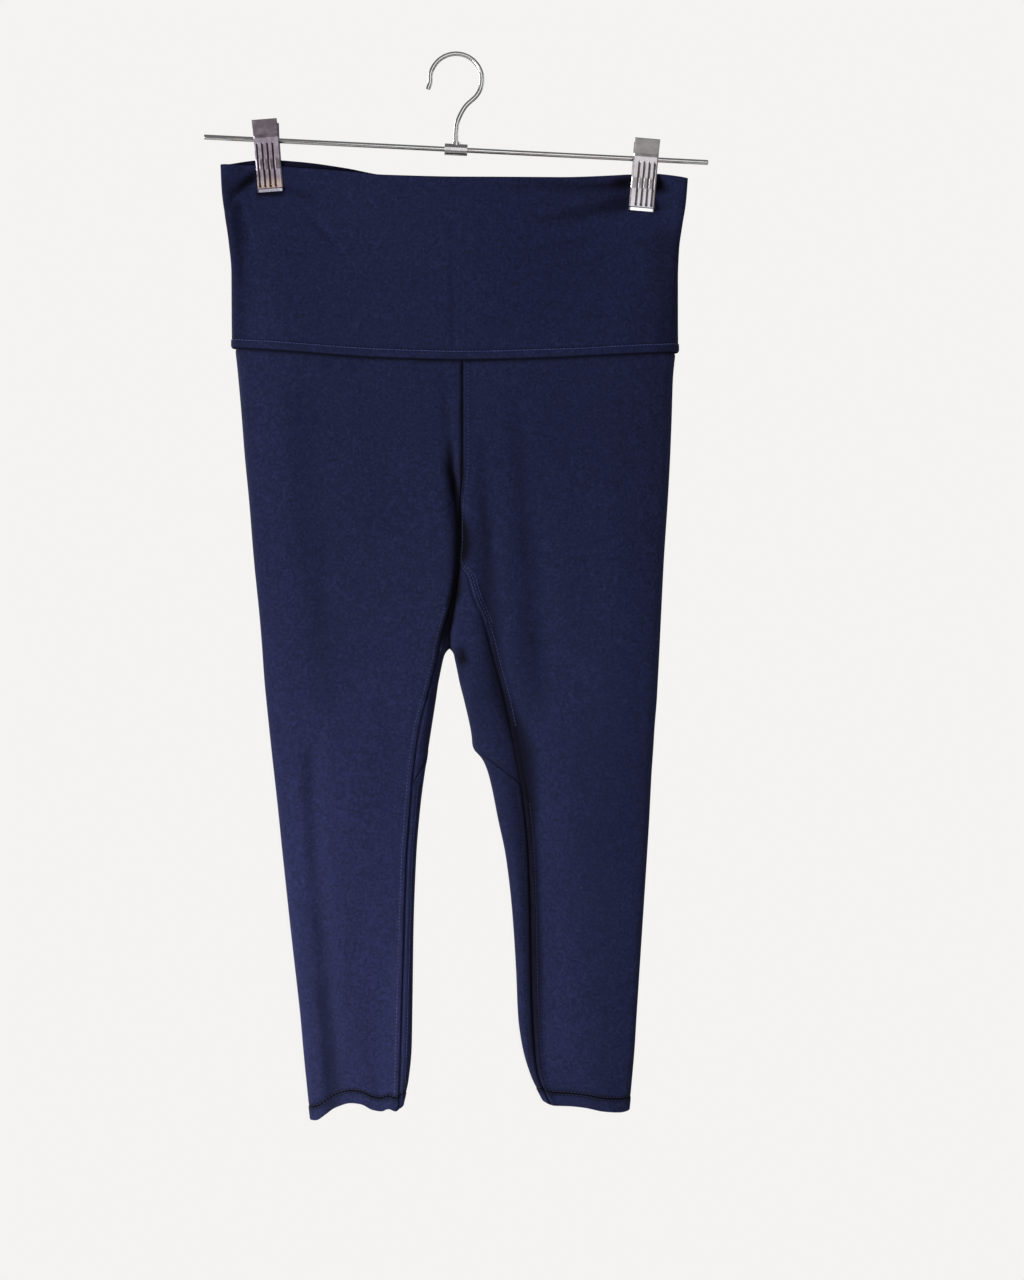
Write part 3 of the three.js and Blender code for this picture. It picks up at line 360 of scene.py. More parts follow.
BAND_ACROSS = [
    band_across(BOTH, (-188, -128, 5, 5, 1), (-181, -117, 5, 5, 2.4), (-175, -108, 3.6, 3.6, 3.6),
                (-167, -100.5, 4, 4, 4.6), (-162, -96.8, 5, 5, 4.8), (-159.4, -95.5, 5, 5, 0)),
    band_across(FRONT, (-139, -105, 3, 4, 0), (-134, -107, 3, 4, 1.5), (-120, -111, 3.4, 5, 1.3),
                (-108, -115, 3.4, 5, 0.7), (-92, -119, 3.4, 5, 0)),
    band_across(FRONT, (2.4, 3.4), (-135, -114, 0), (-128, -120, 0.9), (-112, -134.5, 1.1),
                (-96, -153, 0.8), (-84, -168, 0)),
    band_across(BOTH, (70, -103, 1.6, 1.8, 0), (94, -104, 1.7, 1.9, 1), (115, -103.5, 2, 2.2, 1.8),
                (128, -102.5, 3, 2.6, 3.2), (137.4, -101.6, 3.8, 3.2, 3.8), (140, -101.5, 3.8, 3.2, 0)),
    band_across(BOTH, (60, -131, 2.6, 3.6, 0), (83, -128, 2.6, 3.6, 0.9), (99, -124.6, 2.8, 3.6, 1.5),
                (110, -123, 3, 3.6, 1.9), (126, -119.6, 4, 3.8, 2.8), (136, -117.6, 4.6, 4, 3.2),
                (138.6, -117, 4.6, 4, 0)),
    band_across(FRONT, (52, -160, 4, 7, 0), (80, -152, 3.4, 6, 0.8), (118, -140, 3, 5, 1),
                (139, -133, 3, 4, 0)),
    band_across(BOTH, (159.8, -103, 5, 5, 0), (162, -103, 5, 5, 4.4), (166, -104, 4, 5, 3.4),
                (171, -106, 3, 4, 0.8), (178, -109, 3, 4, 0)),
    band_across(BOTH, (4, 4), (158.4, -120, 0), (161, -120, 1.8), (167, -119, 0.9), (176, -118, 0)),
    band_across(BACK, (-138, -104, 3, 4, 0), (-128, -105, 3, 4, 2), (-96, -106, 2.6, 4, 1.2),
                (-60, -104, 2.6, 4, 0)),
    band_across(BACK, (3, 5), (-138, -122, 0), (-124, -126, 1.6), (-90, -142, 0.8), (-60, -154, 0)),
    band_across(BACK, (64, -138, 3, 5, 0), (96, -128, 3, 5, 1.4), (128, -116, 3.4, 5, 2.2),
                (139, -113, 3.4, 5, 0)),
]

# Where the cloth is tucked in so tightly that little light reaches it. The last column is
# the share of the light that is lost, from 0 to 1.
TUCKS = [
    # the centre seam, on both its sides
    fold("right", FRONT, (-241, 4.4, 1.3, 1.4, 0), (-246, 4.4, 1.3, 1.4, 0.7), (-268, 4.4, 1.1, 1.2, 0.5),
         (-284, 4.4, 1.5, 1.4, 0.75), (-306, 4.4, 1.2, 1.4, 0.6), (-330, 4.6, 1.6, 1.6, 0.8),
         (-346, 5, 1.5, 1.6, 0.6), (-362, 5, 1.5, 1.6, 0)),
    fold("left", FRONT, (-241, 4.4, 1.3, 1.5, 0), (-246, 4.4, 1.3, 1.5, 0.7), (-262, 4.4, 1.2, 1.3, 0.6),
         (-288, 4.4, 1.3, 1.8, 0.8), (-310, 4.6, 1.3, 1.4, 0.55), (-330, 5, 1.4, 2, 0.8),
         (-346, 5.6, 1.5, 1.6, 0.6), (-362, 6, 1.5, 1.6, 0)),
    # the pocket that opens beside it, and the valley below
    fold("right", FRONT, (-306, -4.2, 2, 2, 0), (-318, -4.4, 2.2, 2.2, 0.6), (-330, -4.6, 3.4, 3, 0.9),
         (-338, -2.6, 3.4, 3, 1), (-348, -0.6, 3.6, 3, 1), (-358, 1.2, 2.6, 3, 1), (-372, 2.8, 3, 3.4, 1),
         (-386, 3.2, 3.6, 4.4, 1), (-398, 3.2, 4.4, 4.4, 1), (-408, 1.4, 3, 4, 1), (-424, -0.4, 3.2, 4, 1),
         (-436, -1.6, 4.6, 4, 1), (-448, -4.6, 3.8, 4, 1), (-460, -8, 5, 4.4, 1), (-470, -12, 4, 3, 0.8),
         (-482, -16.5, 3, 3, 0.3), (-500, -20, 3, 3, 0)),
    fold("left", FRONT, (-345, 0.6, 2, 2, 0), (-358, 1.8, 2.6, 2.2, 0.9), (-370, 3.4, 3, 3.6, 1),
         (-381, 4, 4, 6.6, 1), (-392, 4.4, 4, 7.6, 1), (-401, 4, 4, 6, 1), (-405, 2.6, 4, 4, 1),
         (-411, 1.6, 4, 3.4, 1), (-430, -0.2, 4, 4.2, 1), (-442, -2.6, 4, 2.6, 1), (-452, -5, 4, 3.4, 1),
         (-462, -7.4, 4, 2.6, 1), (-474, -9, 3, 2, 0)),
    fold("right", FRONT, (-246, -9.5, 1.6, 1.8, 0), (-262, -8.8, 1.6, 1.8, 0.12),
         (-286, -7.4, 1.8, 1.8, 0.28), (-304, -6.2, 2, 1.8, 0.16), (-320, -4.4, 2, 2, 0.24),
         (-330, -3.6, 2, 2, 0)),
    fold("left", FRONT, (-470, 4.2, 3, 3.4, 0), (-475, 4.4, 3, 3.6, 0.8), (-483, 4.8, 3, 3.6, 1),
         (-488, 5.2, 2.6, 3, 0.4), (-492, 5.6, 2.4, 2.6, 0)),
    # behind: shallower troughs and streaks of the same kinds
    fold("right", BACK, (-262, -58, 6, 8, 0), (-310, -56, 7, 10, 0.26), (-380, -62, 9, 9, 0.32),
         (-450, -66, 10, 8, 0.19), (-520, -70, 10, 8, 0)),
    fold("right", BACK, (-330, -112, 8, 10, 0), (-420, -110, 9, 10, 0.22), (-540, -112, 6, 8, 0.35),
         (-660, -106, 5, 7, 0.48), (-760, -99, 5, 6, 0.42), (-836, -94, 6, 6, 0.54)),
    fold("right", BACK, (-500, -30, 5, 7, 0), (-560, -38, 5, 6, 0.38), (-640, -50, 5, 5, 0.48),
         (-730, -55, 5, 5, 0.32), (-800, -58, 5, 5, 0)),
    fold("left", BACK, (-280, 66, 8, 7, 0), (-340, 62, 9, 7, 0.29), (-430, 60, 8, 8, 0.22),
         (-500, 66, 9, 8, 0.32), (-560, 74, 9, 8, 0)),
    fold("left", BACK, (-380, 122, 8, 8, 0), (-460, 120, 8, 7, 0.26), (-600, 122, 6, 6, 0.38),
         (-700, 112, 6, 5, 0.29), (-800, 104, 6, 5, 0.48), (-836, 100, 6, 5, 0.38)),
    # the photo's right leg: the trough along the inseam and the crease at its bottom, the
    # strip inside it, the second trough and the broad shades beyond
    fold("left", FRONT, (-440, 29, 1.6, 1.6, 0), (-480, 31.5, 1.5, 1.8, 0.35), (-500, 35, 1.6, 1.8, 0.5),
         (-545, 46.4, 1.6, 1.8, 0.7), (-575, 53, 1.6, 1.8, 0.75), (-600, 57.6, 1.6, 1.8, 0.8),
         (-628, 59, 1.6, 1.8, 0.6), (-655, 58.8, 1.6, 1.8, 0.4), (-690, 59.6, 1.6, 1.8, 0.6),
         (-737, 60.4, 1.8, 1.8, 0.75), (-780, 61.4, 1.6, 1.6, 0.5), (-800, 62, 1.6, 1.6, 0)),
    fold("left", FRONT, (-296, 18.4, 2, 2, 0), (-320, 19.4, 3, 3, 0.16), (-345, 21, 3, 3, 0.22),
         (-372, 23.6, 4, 3.4, 0.34), (-400, 26.4, 4.4, 3.4, 0.42), (-424, 26, 5, 6, 0.36),
         (-450, 27.4, 7, 8, 0.4), (-480, 30.4, 6, 6, 0.44), (-500, 35, 6, 3.4, 0.56),
         (-525, 43, 6.4, 6.4, 0.64), (-545, 49.4, 6, 9, 0.74), (-560, 52, 5.4, 11, 0.78),
         (-578, 55, 6.4, 9, 0.76), (-600, 58, 6, 7, 0.74), (-624, 60, 5.4, 5, 0.66),
         (-655, 61.4, 5.4, 5, 0.74), (-690, 62.4, 5, 5.4, 0.7), (-722, 64.4, 6, 4.4, 0.74),
         (-752, 64, 5, 5.4, 0.66), (-784, 65, 6.4, 4, 0.6), (-806, 66, 7, 4, 0.42), (-822, 68, 6, 4, 0.2),
         (-830, 69, 6, 4, 0)),
    fold("left", FRONT, (-470, 16, 16, 16, 0), (-500, 22, 20, 18, 0.14), (-545, 32, 22, 18, 0.22),
         (-600, 44, 16, 16, 0.26), (-655, 50, 12, 12, 0.26), (-700, 53, 12, 10, 0.3),
         (-760, 57, 11, 8, 0.24), (-830, 67, 10, 6, 0.16)),
    fold("left", FRONT, (-284, 46, 4, 6, 0), (-312, 47.6, 4, 8, 0.08), (-340, 50, 5, 9, 0.14),
         (-368, 54, 7, 8, 0.12), (-400, 60, 14, 5, 0.2), (-430, 61, 12, 7, 0.16), (-470, 60, 14, 9, 0.24),
         (-500, 60, 16, 12, 0.2), (-545, 66, 14, 12, 0)),
    fold("left", FRONT, (-241, 84, 36, 60, 0.1), (-300, 88, 38, 60, 0.12), (-380, 96, 34, 50, 0.05),
         (-430, 100, 30, 50, 0)),
    fold("left", FRONT, (-520, 96, 20, 50, 0), (-600, 90, 24, 50, 0.1), (-640, 86, 22, 46, 0.15),
         (-836, 88, 22, 40, 0.17)),
    # the photo's left leg: the streaks of its upper half, and the trough near its outer edge
    fold("right", FRONT, (-250, -124, 12, 12, 0), (-290, -123, 12, 12, 0.1), (-345, -118, 12, 14, 0.12),
         (-400, -114, 12, 14, 0.18), (-430, -111, 10, 12, 0.16), (-500, -107, 10, 11, 0.16),
         (-545, -106, 8, 9, 0.06), (-570, -106, 8, 9, 0)),
    fold("right", FRONT, (-408, -110, 3, 4, 0), (-424, -109.4, 3, 4, 0.14), (-460, -108.6, 4, 4, 0.08),
         (-484, -108, 4, 4, 0)),
    fold("right", FRONT, (-300, -62, 10, 12, 0), (-350, -60, 12, 12, 0.06), (-400, -66, 12, 12, 0)),
    fold("right", FRONT, (-544, -119, 3, 5, 0), (-562, -118.4, 3.4, 5, 0.26), (-584, -118.6, 4, 5, 0.36),
         (-608, -117.6, 3.6, 5, 0.22), (-640, -116, 3.2, 4.4, 0.3), (-672, -113.6, 3.4, 5, 0.2),
         (-700, -110, 4, 5, 0.34), (-728, -107.4, 4, 6, 0.26), (-752, -105.4, 6, 5, 0.42),
         (-776, -103, 6, 7, 0.36), (-800, -101, 6, 7, 0.5), (-826, -98.4, 7, 7, 0.36),
         (-850, -97, 6.6, 7.4, 0.44)),
    fold("right", FRONT, (-600, -100, 10, 14, 0), (-650, -98, 12, 20, 0.12), (-716, -94, 12, 18, 0.18),
         (-790, -88, 12, 16, 0.16), (-836, -84, 12, 16, 0.1)),
    fold("right", FRONT, (-650, -123, 8, 10, 0), (-700, -118, 9, 10, 0.13), (-780, -111, 9, 10, 0.18),
         (-850, -106, 9, 10, 0.16)),
]
# The same on the waistband.
BAND_DOWN_TUCKS = [
    band_down(FRONT, (-94, -185, 6, 5, 0), (-104, -184.4, 6, 6, 0.34), (-135, -182, 6, 10, 0.28),
              (-180, -177, 6, 10, 0.2), (-243, -176.4, 6, 9, 0.16)),
    band_down(FRONT, (-128, 172, 8, 12, 0), (-150, 171, 10, 12, 0.4), (-200, 170, 10, 12, 0.42),
              (-243, 170, 10, 12, 0.3)),
    band_down(FRONT, (1.4, 1.4), (-126, -2.8, 0), (-140, -2.8, 0.16), (-243, -2.8, 0.16)),
    band_down(BACK, (-110, 180, 6, 6, 0), (-140, 178, 6, 8, 0.3), (-243, 172, 6, 8, 0.26)),
    band_down(BACK, (1.4, 1.4), (-126, 2.2, 0), (-140, 2.2, 0.16), (-243, 2.2, 0.16)),
]
BAND_ACROSS_TUCKS = [
    band_across(FRONT, (-184, -122, 4, 4, 0), (-179, -113, 4, 4, 0.16), (-174.5, -107.6, 3.4, 3.4, 0.6),
                (-169, -102, 3.6, 3.6, 1), (-163, -97.5, 4, 4, 1), (-158, -95, 5, 5, 0.8),
                (-150, -91, 5, 5, 0)),
    band_across(FRONT, (-145, -103, 3, 3, 0), (-140, -104.6, 3, 3, 0.3), (-135, -107, 3, 3, 0.36),
                (-122, -111, 3, 3.4, 0.28), (-108, -115, 3, 3.4, 0.1), (-92, -119, 3, 3.4, 0)),
    band_across(FRONT, (1.8, 1.8), (-136, -113, 0), (-126, -122, 0.12), (-104, -144, 0.14), (-84, -168, 0)),
    band_across(FRONT, (60, -103, 1.6, 1.6, 0), (92, -103.6, 1.7, 1.8, 0.14), (110, -103.4, 2, 2.2, 0.26),
                (122, -102.8, 2.8, 2.8, 0.5), (131, -102, 4, 3.8, 1), (143, -101.2, 5, 4.6, 1),
                (150, -101, 5, 4.6, 0)),
    band_across(FRONT, (50, -134, 4, 4, 0), (76, -130, 4.4, 4.4, 0.16), (100, -125, 5, 5, 0.3),
                (114, -121.6, 5.4, 5.4, 0.42), (128, -119, 6, 6, 0.55), (140, -117.4, 6, 6.4, 0.62),
                (147, -117, 5, 5, 0)),
    band_across(FRONT, (20, -106, 3, 3, 0), (50, -105, 4, 4, 0.14), (84, -104, 4, 6, 0.24),
                (112, -105, 4, 7, 0.28), (132, -108, 4, 7, 0.3), (150, -110, 4, 7, 0)),
    # a painted shadow, cast by the right clip's lip
    band_across(FRONT, (1.6, 2), (-160.6, -110.9, 0), (-158, -110.8, 1), (-138.4, -109.4, 1),
                (-136, -109.2, 0)),
    band_across(FRONT, (150, -102, 5.6, 5.6, 0), (157, -102.4, 5.6, 5.6, 1), (163, -102.8, 5.2, 5.6, 1),
                (167.6, -104.6, 3.6, 4.4, 0.6), (172, -107, 2.6, 3.4, 0.2), (177, -109, 2.6, 3.4, 0)),
    band_across(FRONT, (150, -121, 5, 5, 0), (157, -121, 5, 5, 0.36), (164, -120, 4, 4, 0.24),
                (172, -119, 4, 4, 0)),
    band_across(BACK, (-150, -104, 4, 4, 0), (-140, -104, 4, 4, 1), (-130, -104.6, 3.4, 3.6, 0.7),
                (-112, -105.4, 2.6, 3, 0.3), (-70, -105, 2.2, 2.6, 0)),
    band_across(BACK, (-150, -121, 4, 4, 0), (-140, -121.4, 4, 4, 0.4), (-120, -127, 3.6, 3.8, 0.24),
                (-84, -144, 3, 3, 0)),
    band_across(BACK, (86, -132, 3, 3, 0), (110, -124, 3.4, 3.4, 0.3), (128, -116, 4, 4, 0.6),
                (141, -110, 4.6, 4.6, 0.9), (150, -107, 4.6, 4.6, 0)),
    band_across(BACK, (150, -92, 4.6, 4.6, 0), (158, -96, 4.6, 4.6, 0.9), (168, -102, 3.6, 3.6, 0.6),
                (178, -112, 3.4, 3.4, 0.1), (184, -120, 3, 3, 0)),
]


# ---------------------------------------------------------------- the clips' places


def on_bar(x):
    return Vector((x, 0, BAR_Z - math.tan(BAR_TILT) * x))


CLIPS = [
    SimpleNamespace(name="right", at=on_bar(-151.4), lean=math.radians(4.5)),
    SimpleNamespace(name="left", at=on_bar(151.6), lean=math.radians(-5)),
]
PINCH_MARGIN = 4.5
PINCH_FADE = SimpleNamespace(inwards=90, outwards=20, down=76)


def openness(x, z):
    """How far open the band is: 0 between a clip's jaws, 1 far from both clips."""
    total = np.ones(np.broadcast(x, z).shape)
    for clip in CLIPS:
        middle = clip.at.x + math.tan(clip.lean) * (clip.at.z - z)
        out = math.copysign(1, clip.at.x) * (x - middle)
        fade = np.where(out > 0, PINCH_FADE.outwards, PINCH_FADE.inwards)
        beside = np.maximum(0, np.abs(out) - CLIP_WIDTH / 2 - PINCH_MARGIN) / fade
        below = np.maximum(0, clip.at.z - CLIP_DROP - PINCH_MARGIN - z) / PINCH_FADE.down
        total = total * (1 - bell(np.hypot(beside, below)))
    return total


# ---------------------------------------------------------------- closed sections

SECTION_STEPS = 360


class Section:
    """A flattened loop of cloth at one height, walked from its start fold along the front
    to its end fold and back along the rear."""

    def __init__(self, start, end, half_depth, middle):
        share = (1 - np.cos(np.pi * np.arange(SECTION_STEPS + 1) / SECTION_STEPS)) / 2
        x = mix(start, end, share)
        self.middle = middle
        front, back = middle(x) - half_depth(x, FRONT), middle(x) + half_depth(x, BACK)
        self.x = np.concatenate([x, x[-2::-1]])
        self.y = np.concatenate([front, back[-2::-1]])
        steps = np.hypot(np.diff(self.x), np.diff(self.y))
        self.run = np.concatenate([[0], np.cumsum(steps)])
        self.total, self.half = self.run[-1], self.run[SECTION_STEPS]
        self.cut = 0

    def at(self, run):
        run = np.where(run < 0, run + self.total, np.where(run > self.total, run - self.total, run))
        x, y = np.interp(run, self.run, self.x), np.interp(run, self.run, self.y)
        return x, y, np.where(run < self.half, FRONT, BACK)

    def run_at(self, x):
        """The length from the start to where the front passes x."""
        front = self.x[: SECTION_STEPS + 1]
        towards = np.sign(front[-1] - front[0])
        return float(np.interp(x * towards, front * towards, self.run[: SECTION_STEPS + 1]))


def band_lift(x, z, side):
    """How far a point of the band moves up so that its edges follow their own lines."""
    edge = np.where(side < 0, WAIST_EDGE.front(x), WAIST_EDGE.back(x)) - WAIST_TOP
    sag = WAIST_SEAM_LINE.z(x) - WAIST_SEAM
    return mix(edge, sag, smooth((WAIST_TOP - z) / (WAIST_TOP - WAIST_SEAM)))


@lru_cache(None)
def band_section(z):
    left, right, depth, reach = BAND.left(z), BAND.right(z), BAND.depth(z), BAND.reach(z)

    def half(x, side):
        opened = openness(x, z + band_lift(x, z, side))
        edge = np.minimum(x - left, right - x)
        pinched = PINCH * rounding(edge, PINCH + 0.5)
        full = depth * flat_edge(edge, reach, EDGE_SLOPE)
        return pinched * (1 - opened) + full * opened

    return Section(left, right, half, lambda x: 0)


@lru_cache(None)
def leg_section(leg, z):
    sizes, towards = LEGS[leg], TOWARDS[leg]
    overlap = MIDDLE.overlap(z)
    joined = z > JOINED_DOWN_TO
    inner = MIDDLE.x(z) - towards * overlap if joined else sizes.inner(z)
    inner_reach = MIDDLE.reach(z) if joined else sizes.inner_reach(z)
    outer, depth, outer_reach = sizes.outer(z), sizes.depth(z), sizes.outer_reach(z)
    apart = smooth((CROTCH - z) / PARTED_REACH)
    slope = min(EDGE_SLOPE, 0.5 * abs(outer - inner))
    shift, turn = sizes.shift(z), towards * TURN * apart

    def plateau(x):
        flatter = mix(INNER_SHARE, 1, smooth(np.abs(x - inner) / INNER_SHARE_REACH))
        return depth * mix(1, flatter, apart)

    def half(x, side):
        near = rounding(np.abs(x - inner), inner_reach)
        return plateau(x) * near * flat_edge(np.abs(outer - x), outer_reach, slope)

    def middle(x):
        return shift + turn * (x - (inner + outer) / 2)

    section = Section(inner, outer, half, middle)
    section.plateau = plateau
    if overlap > 0:
        section.cut = section.run_at(MIDDLE.x(z))
    return section


# ---------------------------------------------------------------- seams


@lru_cache(None)
def front_seam(leg, z):
    """The length from the inner fold to the centre seam, gusset edge or inseam."""
    section = leg_section(leg, z)
    if z >= GUSSET_TOP:
        return section.cut
    shows = INSEAM_SHOWS[leg]
    if z <= shows:
        return section.run_at(INSEAMS[leg].x(z))
    top = leg_section(leg, GUSSET_TOP).cut
    bottom = leg_section(leg, shows).run_at(INSEAMS[leg].x(shows))
    return mix(top, bottom, (GUSSET_TOP - z) / (GUSSET_TOP - shows))


@lru_cache(None)
def back_seam(leg, z):
    """The same for the back: negative lengths lie behind the inner fold."""
    if z >= GUSSET_TOP:
        return -leg_section(leg, z).cut
    if z <= GUSSET_TIP:
        return front_seam(leg, z)
    back = GUSSET_BACK[leg]
    top = leg_section(leg, GUSSET_TOP).cut * smooth((z - CROTCH) / (GUSSET_TOP - CROTCH))
    return float(mix(-top - back.behind(z), front_seam(leg, z), back.share(z)))


# The photo's right leg hides its gusset seam where it starts and where it ends.
HIDDEN_SEAM = SimpleNamespace(share=0.85, first=(GUSSET_TOP + 6, -448), last=(GUSSET_BEND, -598))


def seam_sharpness(leg, z):
    """How sharply the seam beside the gusset shows, from 0 to 1."""
    if leg == "right":
        return 1.0
    (top, bottom), (last_top, last_bottom) = HIDDEN_SEAM.first, HIDDEN_SEAM.last
    start = (1 - smooth((bottom - z) / 20)) * smooth((top - z) / 8)
    end = smooth((last_top - z) / 10) * smooth((z - last_bottom) / 10)
    return 1 - HIDDEN_SEAM.share * (start + end)


# ---------------------------------------------------------------- the cloth's surface


def down_bells(crease, x, z, form=bell):
    """How near points are to a crease that runs down, times its depth there."""
    offset = x - crease.x(z)
    return crease.depth(z) * form(offset / np.where(offset < 0, crease.left(z), crease.right(z)))


def across_bells(crease, x, z, form=bell):
    """The same for a crease that runs across."""
    offset = z - crease.z(x)
    return crease.depth(x) * form(offset / np.where(offset > 0, crease.above(x), crease.below(x)))


def fold_depth(leg, side, x, z):
    """How far a leg's folds and creases push its points inwards."""
    total = np.zeros(np.shape(x))
    for found in FOLDS + CREASES:
        if found.leg == leg:
            total = total + down_bells(found, x, z) * (found.face == side)
    return total


def band_crease_depth(face, x, z):
    """How far the creases of a face push points of the band inwards (or, for BOTH, back)."""
    total = np.zeros(np.shape(x))
    for creases, bells in ((BAND_DOWN, down_bells), (BAND_ACROSS, across_bells)):
        for found in creases:
            if found.face == face:
                total = total + bells(found, x, z)
    return total


def tuck_form(t):
    """Wholly dark over the middle of a tuck, and soft at its edges."""
    return np.minimum(1.35 * bell(t), 1)


def kept_light(shares, at):
    """The share of the light that is left where tucks take these shares of it."""
    left = np.ones(np.shape(at))
    for share in shares:
        left = left * (1 - np.clip(share, 0, 1))
    return left


# Each is (share of the light lost, reach): at the waist seam on the legs and on the band, at
# the hem's needle lines, and along the inseams.
LEG_WAIST_SHADE = (0.8, 2.4)
BAND_WAIST_SHADE = (0.5, 0.7)
HEM_SHADE = (1, 1.9)
INSEAM_SHADE = {"left": (0.5, 0.9), "right": (0.3, 0.9)}
HEM_NEEDLES = (11.3, 9.4)  # their heights above the hem's fold
HEM_GROOVE = 10.4


def shaded(kind, distance):
    share, reach = kind
    return share * bell(distance / reach)


def leg_tuck(leg, z, run, distance):
    """The share of the light that tucks, seams and the hem's needle lines take from a leg."""
    section = leg_section(leg, z)
    x, _, side = section.at(run)
    near = [down_bells(t, x, z, tuck_form) * (side == t.face) for t in TUCKS if t.leg == leg]
    near += [shaded(LEG_WAIST_SHADE, WAIST_SEAM - z), shaded(HEM_SHADE, z - HEM - HEM_GROOVE)]
    near.append(seam_sharpness(leg, z) * shaded(INSEAM_SHADE[leg], distance))
    return 1 - kept_light(near, x)


def band_tuck(z, run, side):
    x, _, _ = band_section(z).at(run)
    height = z + band_lift(x, z, side)
    near = [down_bells(t, x, height, tuck_form) for t in BAND_DOWN_TUCKS if t.face == side]
    near += [across_bells(t, x, height, tuck_form) for t in BAND_ACROSS_TUCKS if t.face == side]
    near.append(shaded(BAND_WAIST_SHADE, z - WAIST_SEAM))
    return 1 - kept_light(near, x)


SAG_REACH = 90  # how far below the waist seam its sag is still felt
HEM_REACH = 70  # how far above the hem its wave is still felt


def leg_point(leg, z, run):
    """Points of a leg's surface, by height and length of cloth from the inner fold."""
    section = leg_section(leg, z)
    x, y, side = section.at(run)
    off_middle = np.abs(y - section.middle(x)) / section.plateau(x)
    sunk = fold_depth(leg, side, x, z) * np.clip(off_middle, 0, 1) ** 2
    sag = (WAIST_SEAM_LINE.z(x) - WAIST_SEAM) * smooth(1 - (WAIST_SEAM - z) / SAG_REACH)
    behind = np.where(side > 0, smooth(off_middle), 0)
    wave = HEM_LINES[leg].drop(x) * (1 - 0.5 * behind) * smooth(1 - (z - HEM) / HEM_REACH)
    return np.stack([x, y - side * sunk, z + sag + wave], -1)


CREASE_ROOM = (2.5, 5)  # half depths between which the band's creases of one side begin


def band_bend(x, height):
    """How far both layers of the band bend back together."""
    return band_crease_depth(BOTH, x, height)


def band_point(z, run):
    x, y, side = band_section(z).at(run)
    height = z + band_lift(x, z, side)
    room = smooth((np.abs(y) - CREASE_ROOM[0]) / (CREASE_ROOM[1] - CREASE_ROOM[0]))
    front, back = band_crease_depth(FRONT, x, height), band_crease_depth(BACK, x, height)
    y = y - side * np.where(side < 0, front, back) * room
    return np.stack([x, y + band_bend(x, height), height], -1)


NORMAL_STEP = 1.2


def normals(point, z, run, sign):
    step = NORMAL_STEP
    down = point(z - step, run) - point(z + step, run)
    across = point(z, run + step) - point(z, run - step)
    return unit(np.cross(down, across)) * sign


# ---------------------------------------------------------------- relief of seams and edges

NEEDLE = 4.4  # from a seam to the needle line beside it
BAND_NEEDLE = BAND_LIP_HEIGHT - 0.6  # the same above the waist seam
EDGE_ROLL = SimpleNamespace(depth=0.95, reach=0.9)
STRIP = SimpleNamespace(height=0.42, start=0.5, rise=1.1, end=6.2, fall=1.6)
VALLEY_REACH = 14  # below the centre seams, over which their edges come apart
FAR = 99.0  # from any seam
STITCHED = SimpleNamespace(strip=0.34, hem=0.32, band=0.35, reach=0.5)  # depths of needle lines


def edge_roll(distance):
    """A panel's sewn edge turns in towards the seam."""
    return -EDGE_ROLL.depth * bell(distance / EDGE_ROLL.reach)


def seam_strip(distance):
    """The seam allowance shows through as a low strip, held down by its needle line."""
    rise = smooth((distance - STRIP.start) / STRIP.rise) * smooth((STRIP.end - distance) / STRIP.fall)
    return STRIP.height * rise - STITCHED.strip * bell((distance - NEEDLE) / 0.55)


def fold_over(distance, thickness):
    """How far both faces draw in at a folded edge, so that it ends round."""
    half = thickness / 2
    inside = np.clip(1 - distance / half, 0, 1)
    return half * (1 - np.sqrt(1 - inside**2))


def leg_faces(leg, z, run, distance, strip):
    """Outer and inner points and normals of a leg's cloth. distance is to the nearest sewn
    edge, and strip is how strongly the seam allowance shows there."""
    section = leg_section(leg, z)
    point = leg_point(leg, z, run)
    normal = normals(lambda h, r: leg_point(leg, h, r), z, run, TOWARDS[leg])
    above_hem = z - HEM
    hem = smooth((HEM_TURN_UP + 0.7 - above_hem) / 1.1)
    needles = sum(bell((above_hem - at) / STITCHED.reach) for at in HEM_NEEDLES)
    relief = strip * seam_strip(distance) - bell((WAIST_SEAM - z) / 1.4)
    relief = relief + HEM_STEP * hem - STITCHED.hem * needles
    thickness = LEG_CLOTH + 0.5 * hem
    drawn = fold_over(above_hem, thickness + HEM_STEP)
    # In the valleys of the centre seams the two edges turn straight in, side by side.
    valley = smooth((z - GUSSET_TOP + VALLEY_REACH) / VALLEY_REACH)
    straight = np.zeros_like(normal)
    straight[:, 1] = np.where(run % section.total < section.half, FRONT, BACK)
    rolled = edge_roll(distance) * (0.3 + 0.7 * seam_sharpness(leg, z))
    inwards = mix(normal, straight, valley) * np.reshape(rolled, (-1, 1))
    outer = point + normal * np.reshape(relief - drawn, (-1, 1)) + inwards
    inner = point - normal * np.reshape(thickness - drawn, (-1, 1))
    return outer, inner, normal


def band_faces(z, run, side):
    """The same for the waistband. Its two halves never pass through each other."""
    point = band_point(z, run)
    normal = normals(band_point, z, run, 1)
    above = z - WAIST_SEAM
    lip = BAND_LIP * smooth((BAND_LIP_HEIGHT + 0.4 - above) / 1.2)
    stitched = STITCHED.band * bell((above - BAND_NEEDLE) / STITCHED.reach)
    relief = lip - stitched - 0.9 * bell(above / 0.9)
    drawn = fold_over(WAIST_TOP - z, BAND_CLOTH)
    outer = point + normal * (relief - drawn)
    inner = point - normal * (BAND_CLOTH - drawn)
    for faces in (outer, inner):
        middle = band_bend(faces[:, 0], faces[:, 2])
        faces[:, 1] = middle + side * np.maximum(side * (faces[:, 1] - middle), SEAM_GAP / 2)
    return outer, inner, normal


# ---------------------------------------------------------------- meshes

